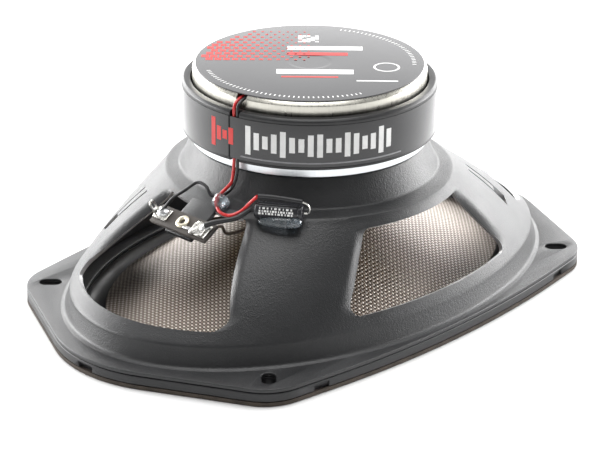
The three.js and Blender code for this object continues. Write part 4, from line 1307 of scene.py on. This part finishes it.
def spider():
    low, high = span("spider")
    inner, outer = FORMER_RADIUS + 0.15, half_sizes("spider")[0]
    middle = (low[2] + high[2]) / 2
    glued = outer - 6.4
    start, ripples, swing, half_sheet = inner + 2, 6, 0.9, 0.22
    steps = 96
    wave = []
    for i in range(steps + 1):
        radius = inner + (outer - inner) * i / steps
        share = (radius - start) / (glued - start)
        rise = swing * math.sin(share * ripples * 2 * math.pi) if 0 < share < 1 else 0
        wave.append((radius, middle + rise))
    profile = [(r, z - half_sheet) for r, z in wave] + [(r, z + half_sheet) for r, z in reversed(wave)]
    rows = [(r, r, z) for r, z in profile]
    body = oval_turned("corrugated_spider", rows, SPIDER_CLOTH, 128)
    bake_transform(body, FRAME_BODY, CONE_BODY, (outer * MM, 0, 0), (inner * MM, 0, 0))
    weights_by_radius(body, glued, inner + 1)
    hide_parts("spider")
    return body


def weights_by_radius(obj, start, end):
    """Sets how much of the cone's travel each point follows, by its distance from the axis."""
    attribute = obj.data.attributes["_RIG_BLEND"]
    for vertex, item in zip(obj.data.vertices, attribute.data):
        radius = math.hypot(vertex.co.x, vertex.co.y) / MM
        item.value = eased((start - radius) / (start - end))


def tinsel_lead(side, node):
    """A braid from under the board to the cone's neck, which bends as the cone moves."""
    lead = [on_board(1.6, side * 10, -BOARD_THICKNESS - 0.8),
            on_board(8.4, side * 9.8, -BOARD_THICKNESS - 5.6)]
    lead += [Vector((-(FORMER_RADIUS + out), side * across, CONE_NECK_Z - drop)) for out, across, drop in (
        (39.7, 9.2, 0.4), (31.7, 8.4, 2.6), (20.7, 6.2, 3.2), (10.7, 4, 2.4))]
    points = [tuple(p) for p in lead]
    body = wire(node + "_braid", points, 0.6, BRAID, 10)
    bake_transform(body, FRAME_BODY, CONE_BODY, tuple(Vector(points[0]) * MM), tuple(Vector(points[-1]) * MM))
    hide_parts(node)
    return body


# ------------------------------------------------------------------ terminals, capacitor and wires


def terminals():
    """The fibre strip, its eyelet and the two terminals."""
    board = slab("terminal_board_strip", (BOARD_WIDTH, BOARD_LENGTH, BOARD_THICKNESS),
                 (0, 0, -BOARD_THICKNESS / 2), BOARD, 0.22)
    settle(onto_board(board), FRAME_BODY, ["terminal_board"])
    eyelet = turned("eyelet_ring", [
        (1.2, -4.4), (2.4, -4.4), (2.4, -3.9), (1.7, -3.9), (1.7, 0.1), (2.9, 0.1), (2.9, 0.75), (2.3, 1.15),
        (1.6, 1.1), (1.2, 0.7)], CREAM_BRASS, 48, 0.25)
    run = lump("solder_run", (-1.7, -4.6, 0.45), (0.7, 3.2, 0.5), SOLDER, 9, turn=0.12)
    ring = merged("terminal_eyelet_ring", [eyelet, run])
    settle(onto_board(ring), FRAME_BODY, ["terminal_eyelet"])
    negative_terminal()
    positive_terminal()


def slotted_spade(width, height, along):
    """An upright tab with an oblong hole and a rounded top, on the board's frame."""
    half, top = width / 2, height - width / 2
    outline = belt([(0, top, half), (-half + 0.15, 0, 0.15), (half - 0.15, 0, 0.15)], 10)
    middle = height * 0.6
    hole = belt([(0, middle + height * 0.17, width * 0.2), (0, middle - height * 0.2, width * 0.2)], 8)
    plate = plate_from("spade", outline, [hole], -0.4, 0.4, TINNED, 0.14)
    stand = Matrix(((1, 0, 0, 0), (0, 0, 1, along * MM), (0, 1, 0, TAB_FOOT * MM), (0, 0, 0, 1)))
    plate.data.transform(stand)
    tidy_mesh(plate.data)
    soften_shading(plate)
    return plate


def crumpled(name, size, centre, material, seed, depth):
    """A thin sheet with eased edges, dented by hand tools and heat."""
    work = bmesh.new()
    bmesh.ops.create_cube(work, size=1)
    bmesh.ops.scale(work, vec=size, verts=work.verts)
    bmesh.ops.bevel(work, geom=work.edges[:], offset=0.15, segments=2, affect="EDGES", profile=0.5)
    bmesh.ops.subdivide_edges(work, edges=[e for e in work.edges if e.calc_length() > 2], cuts=11,
                              use_grid_fill=True)
    chance = random.Random(seed)
    dents = [(chance.uniform(0.5, 1.6), chance.uniform(0.5, 1.6), chance.uniform(0, 6)) for _ in range(5)]
    for vertex in work.verts:
        x, y, _ = vertex.co
        sway = sum(math.sin(x * u + y * v + phase) for u, v, phase in dents) / 5
        vertex.co.z += depth * (1 + sway)
        vertex.co.x += 0.12 * math.sin(y * 1.7 + seed)
    bmesh.ops.translate(work, vec=centre, verts=work.verts)
    bmesh.ops.scale(work, vec=(MM, MM, MM), verts=work.verts)
    obj = object_from(name, work, material)
    soften_shading(obj, 24)
    return obj


def negative_terminal():
    length = 7
    spade = slotted_spade(2.8, 6.4, STRIP_END)
    lug = crumpled("lug", (5.4, length, 0.7), (0, STRIP_END - length / 2, TAB_FOOT + 0.3), TINNED, 3, 0.12)
    solder = lump("solder", (0.4, STRIP_END - 3.6, TAB_FOOT + 1), (2.2, 2.5, 1.0), SOLDER, 3, 0.3, 0.3)
    strip = merged("negative_terminal_strip", [spade, lug, solder])
    return settle(onto_board(strip), FRAME_BODY, ["negative_terminal"])


def positive_terminal():
    length = 8
    lug = crumpled("lug", (6.4, length, 0.7), (-0.4, length / 2 - STRIP_END, TAB_FOOT + 0.3), TINNED, 5, 0.12)
    fold = crumpled("fold", (4.8, 6.5, 0.7), (-1.2, 4.4 - STRIP_END, TAB_FOOT + 1.1), TINNED, 8, 0.2)
    solder = lump("solder", (0.9, 2.6 - STRIP_END, TAB_FOOT + 1.3), (1.9, 2.2, 1.0), SOLDER, 6, 0.3, 0.3)
    strip = merged("positive_terminal_strip", [lug, fold, solder])
    return settle(onto_board(strip), FRAME_BODY, ["positive_terminal"])


def lump(name, centre, radii, material, seed, turn=0.0, roughness=0.12):
    """A rounded drop with a gently uneven surface."""
    work = bmesh.new()
    bmesh.ops.create_icosphere(work, subdivisions=4, radius=1)
    chance = random.Random(seed)
    waves = [(Vector((chance.uniform(-1, 1), chance.uniform(-1, 1), chance.uniform(-1, 1))) * 3.2,
              chance.uniform(0, 6)) for _ in range(6)]
    for vertex in work.verts:
        swell = sum(math.sin(vertex.co.dot(direction) + phase) for direction, phase in waves) / 6
        vertex.co *= 1 + roughness * swell
    bmesh.ops.scale(work, vec=[r * MM for r in radii], verts=work.verts)
    bmesh.ops.rotate(work, matrix=Matrix.Rotation(turn, 3, "Z"), verts=work.verts)
    bmesh.ops.translate(work, vec=[c * MM for c in centre], verts=work.verts)
    obj = object_from(name, work, material)
    obj.data.shade_smooth()
    return obj


def on_capacitor(along, outward, up):
    """A point in the capacitor's own frame: along it, away from the motor and up."""
    centre = polar(LEDGE_RADIUS + 2, CAPACITOR_ANGLE, LEDGE_Z - 0.3 + CAPACITOR_RADIUS)
    return centre + polar(along, CAPACITOR_ANGLE + 90) + polar(outward, CAPACITOR_ANGLE, up)


def capacitor():
    half, r = CAPACITOR_LENGTH / 2, CAPACITOR_RADIUS
    can = turned("can", [
        (0, -half), (r - 0.7, -half), (r - 0.7, -half + 0.5), (r, -half + 0.5), (r, half - 2.2),
        (r - 0.35, half - 1.8), (r, half - 1.4), (r, half - 0.2), (r - 0.8, half), (0, half - 0.4)],
        CAN, 64, 0.3)
    stripes = []
    for row, (angle, count) in enumerate(((-0.62, 9), (-0.3, 13), (-0.02, 11))):
        for i in range(count):
            width = 0.35 + 0.3 * ((i * 5 + row) % 3)
            along = -half + 2.4 + i * (CAPACITOR_LENGTH - 5) / count
            mark = slab("mark", (PRINT_DEPTH, 0.75, width), (r + 0.01, 0, along), WHITE_INK, 0)
            mark.data.transform(Matrix.Rotation(angle, 4, "Z"))
            stripes.append(mark)
    body = merged("capacitor_can", [can, *stripes])
    centre = on_capacitor(0, 0, 0)
    lay = Matrix.Rotation(math.radians(CAPACITOR_ANGLE), 4, "Z") @ Matrix.Rotation(-math.pi / 2, 4, "X")
    body.data.transform(Matrix.Translation(centre * MM) @ lay)
    soften_shading(body)
    return settle(body, FRAME_BODY, ["capacitor"])


def glue_drops():
    turn = math.radians(CAPACITOR_ANGLE)
    run = lump("run", on_capacitor(0.5, 2.9, -3.3), (2.6, 8.4, 2.4), GLUE, 5, turn, 0.22)
    end = lump("run_end", on_capacitor(6.6, 3.2, -2.9), (2.1, 2.7, 2.3), GLUE, 8, turn, 0.2)
    settle(merged("capacitor_glue_run", [run, end]), FRAME_BODY, ["capacitor_glue"])
    centre = polar(LEDGE_RADIUS + 0.5, WIRE_ANGLE - 1.5, LEDGE_Z + 2.3)
    drop = lump("wire_glue_drop", centre, (3.0, 3.6, 3.1), GLUE, 11, 0, 0.24)
    settle(drop, FRAME_BODY, ["wire_glue"])


def pair_route(offset, tail):
    """Up the post, along the groove, over the rim, down the boot's channel and on to its own tail."""
    pod_rear = span("tweeter_pod")[1][2]
    thread_top = REAR_FACE - 2.5
    groove = REAR_FACE - 1.4
    channel = BOOT_RADIUS - WRAP_THICKNESS - WIRE_RADIUS - 0.25

    def at(radius, z):
        return polar(radius, WIRE_ANGLE, z) + polar(offset, WIRE_ANGLE + 90)

    return [at(0, pod_rear - 1.6), at(0, (pod_rear + REAR_FACE) / 2), at(0, thread_top - 1.2),
            at(2.2, groove + 0.1), at(BACK_RADIUS * 0.4, groove), at(BACK_RADIUS * 0.8, groove),
            at(BACK_RADIUS - 1.4, groove), at(channel - 0.5, BOOT_TOP + 2), at(channel, BOOT_TOP - 4),
            at(channel, BOOT_Z + 1), at(channel + 0.9, BOOT_Z - 6), *tail]


def from_ledge(outward, across, up):
    """A point beyond the ledge at the terminal end: outwards, across and up from its edge."""
    return Vector((-(LEDGE_RADIUS + outward), across, LEDGE_Z + up))


def wires():
    red = pair_route(-0.8, [
        from_ledge(-6.2, -7.2, 8.2), from_ledge(-1, -6.2, 4), from_ledge(1.8, -7.6, 1.4),
        from_ledge(3.6, -10.6, 0), from_ledge(3.2, -15, -0.4), from_ledge(1.6, -20, 2.2),
        from_ledge(-1.4, -22, 5.4), on_capacitor(-8.2, 1.4, 6)])
    settle(wire("red_tweeter_wire", red, WIRE_RADIUS, RED_PVC), FRAME_BODY, ["tweeter_wire_positive"])
    black = pair_route(0.8, [
        from_ledge(-5.8, -7.4, 5.6), from_ledge(-3.6, -4.4, 2.8), from_ledge(-1.2, -1.4, 2.6),
        from_ledge(-1.4, 1.8, 5.4), from_ledge(-1.2, 6.2, 5.8), from_ledge(2.2, 9.4, 2.8),
        on_board(7.2, 10.8, 2.2), on_board(3.8, 11.4, 1.6), on_board(0.4, 11.4, TAB_FOOT + 1 + WIRE_RADIUS)])
    settle(wire("black_tweeter_wire", black, WIRE_RADIUS, BLACK_PVC), FRAME_BODY, ["tweeter_wire_negative"])
    end = -CAPACITOR_LENGTH / 2 - 0.3
    jumper = [on_capacitor(end, 0, 0), on_capacitor(end - 1.2, 0, 0), on_capacitor(end - 3, 1.4, -1),
              from_ledge(4.2, -20.6, 0.6), on_board(4, -15.8, 2.6), on_board(0.6, -12.6, TAB_FOOT + 2.8)]
    settle(wire("jumper_wire", jumper, 1.0, SLEEVE), FRAME_BODY, ["positive_jumper"])
    end = CAPACITOR_LENGTH / 2 + 0.2
    lead = [on_capacitor(end, 0, 0), on_capacitor(end + 1.6, 0, 0.2), on_capacitor(end + 2.3, 0.5, 2),
            on_capacitor(end + 1.6, 1.2, 4.2), on_capacitor(end - 0.2, 1.5, 5.2)]
    settle(wire("capacitor_lead_wire", lead, 0.4, TINNED, 10), FRAME_BODY, ["capacitor_lead"])
    sleeve = [on_capacitor(-7.8, 1.4, 6.1), on_capacitor(-3, 1.5, 6.2), on_capacitor(3, 1.6, 5.9),
              on_capacitor(CAPACITOR_LENGTH / 2 - 0.3, 1.5, 5.3)]
    settle(wire("splice_shrink_sleeve", sleeve, 0.95, SLEEVE, 20), FRAME_BODY, ["splice_sleeve"])


# ------------------------------------------------------------------ tweeter


def tweeter():
    """The pod, the face with its guard, and the dome."""
    radius = half_sizes("tweeter_pod")[0]
    front = span("tweeter_face")[0][2] + 0.4
    tweeter_pod(radius, front)
    tweeter_face(radius, front)
    tweeter_dome()


def tweeter_pod(radius, front):
    rear = span("tweeter_pod")[1][2]
    pod = turned("tweeter_pod_shell", [
        (4.15, rear - 1.6), (radius * 0.62, rear - 1.6), (radius - 3.1, rear - 5.6),
        (radius - 1.6, front + 5), (radius - 1.6, front + 1.4), (radius - 0.6, front + 1.4),
        (radius, front + 2), (radius, front + 5.5),
        (radius - 1.6, rear - 4.4), (radius * 0.66, rear), (4.15, rear)], PLASTIC, 128, 0.6)
    settle(pod, FRAME_BODY, ["tweeter_pod"])


def tweeter_face(radius, front):
    """A flared ring, a hub and six bars between them."""
    inner, outer = 9.6, radius - 1.8
    face = turned("face", [
        (inner, front + 0.6), (outer, front - 0.4), (outer, front + 1.3), (inner + 1.6, front + 2.4),
        (inner, front + 2.4)], PLASTIC, 128, 0.3)
    reach = inner - 1.8
    rib = slab("bar", (reach, 1.1, 0.9), (-reach / 2 - 0.4, 0, 0), PLASTIC, 0.2)
    guard = marks_on_arc(rib, PLASTIC, 6, inner + 0.9, front + 0.5, 30, 60)
    hub = turned("hub", [(0, front + 0.05), (1.9, front + 0.15), (1.9, front + 0.9), (0, front + 0.9)],
                 PLASTIC, 48, 0.2)
    whole = merged("tweeter_face_and_guard", [face, guard, hub])
    settle(whole, FRAME_BODY, ["tweeter_face"])


def tweeter_dome():
    """A thin silk dome in a rolled edge."""
    dome_low, dome_high = span("tweeter_dome")
    edge = half_sizes("tweeter_dome")[0]
    crown, level = 6.4, dome_high[2] - 0.3
    rise = level - dome_low[2]
    front_line = [(crown * math.sin(t), level - rise * math.cos(t))
                  for t in (math.pi / 2 * i / 14 for i in range(15))]
    roll_line = [(crown + (edge - crown) * i / 12, level - 0.8 * math.sin(math.pi * i / 12))
                 for i in range(1, 13)]
    line = front_line + roll_line
    thickness = 0.28
    profile = line + [(r, z + thickness) for r, z in reversed(line)]
    rows = [(max(r, 1e-6), max(r, 1e-6), z) for r, z in profile]
    dome = oval_turned("tweeter_silk_dome", rows, SILK, 96, closed=False)
    settle(dome, DOME_BODY, ["tweeter_dome"])


# ------------------------------------------------------------------ carried-over CAD nodes


def repaint(node, material):
    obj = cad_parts[node]
    for holder in obj.material_slots:
        holder.material = material


def carried_nodes():
    """The CAD nodes that show as they are, with better finishes."""
    rivets = [f"plate_rivet_{number}" for number in range(1, 5)]
    for node in (*rivets, "tweeter_post", "post_nut", "tweeter_cup", "tweeter_pole_plate"):
        repaint(node, ZINC)
    repaint("magnet", FERRITE)
    repaint("dust_ring", FELT)
    repaint("voice_coil_former", KRAFT)
    repaint("voice_coil_winding", COPPER)
    repaint("tweeter_magnet", TINNED)
    repaint("tweeter_coil", COPPER)
    repaint("tweeter_spacer", PLASTIC)


# ------------------------------------------------------------------ floor and light


def area_light(name, place, aim, size, power):
    """A rectangular lamp at a place, turned to the aim. Places and sizes are metres."""
    data = bpy.data.lights.new(name, "AREA")
    data.shape = "RECTANGLE"
    data.size, data.size_y = size
    data.energy = power
    light = bpy.data.objects.new(name, data)
    light.location = place
    light.rotation_euler = (Vector(aim) - Vector(place)).to_track_quat("-Z", "Y").to_euler()
    bpy.context.scene.collection.objects.link(light)


def studio():
    """A pale floor in a white room, with one lamp above and five panels round the rear."""
    mesh = bpy.data.meshes.new("floor")
    reach, level = 6, cad_low[2] - 0.0002
    mesh.from_pydata([(-reach, -reach, level), (reach, -reach, level), (reach, reach, level),
                      (-reach, reach, level)], [], [(0, 1, 2, 3)])
    mesh.materials.append(pale_floor())
    floor = bpy.data.objects.new("floor", mesh)
    bpy.context.scene.collection.objects.link(floor)
    world = bpy.data.worlds.new("white_room")
    world.use_nodes = True
    world.node_tree.nodes["Background"].inputs[0].default_value = (1, 1, 1, 1)
    world.node_tree.nodes["Background"].inputs[1].default_value = 0.32
    bpy.context.scene.world = world
    aim = (0, 0, 0.05)
    area_light("overhead", (0.05, 0.05, 1.3), aim, (1.0, 1.0), 15)
    area_light("back_panel", (1.0, 0.95, 0.5), aim, (2.2, 1.1), 9)
    area_light("rear_left_panel", (0.15, 1.35, 0.45), aim, (1.3, 0.8), 20)
    area_light("rear_right_panel", (1.35, 0.1, 0.45), aim, (1.3, 0.8), 19)
    area_light("left_panel", (-0.6, 1.2, 0.3), aim, (0.9, 0.6), 20)
    area_light("right_panel", (1.2, -0.6, 0.3), aim, (0.9, 0.6), 18)
    bpy.context.scene.view_settings.view_transform = "Standard"


# ------------------------------------------------------------------ build

front_gasket()
trim_ring()
flange_plate()
basket_body()
terminal_tab()
front_plate()
yoke()
magnet_boot()
boot_wrap()
rear_label()
wrap_print()
label_print()
cone()
surround()
spider()
tinsel_lead(1, "tinsel_lead_negative")
tinsel_lead(-1, "tinsel_lead_positive")
terminals()
capacitor()
glue_drops()
wires()
tweeter()
carried_nodes()
studio()
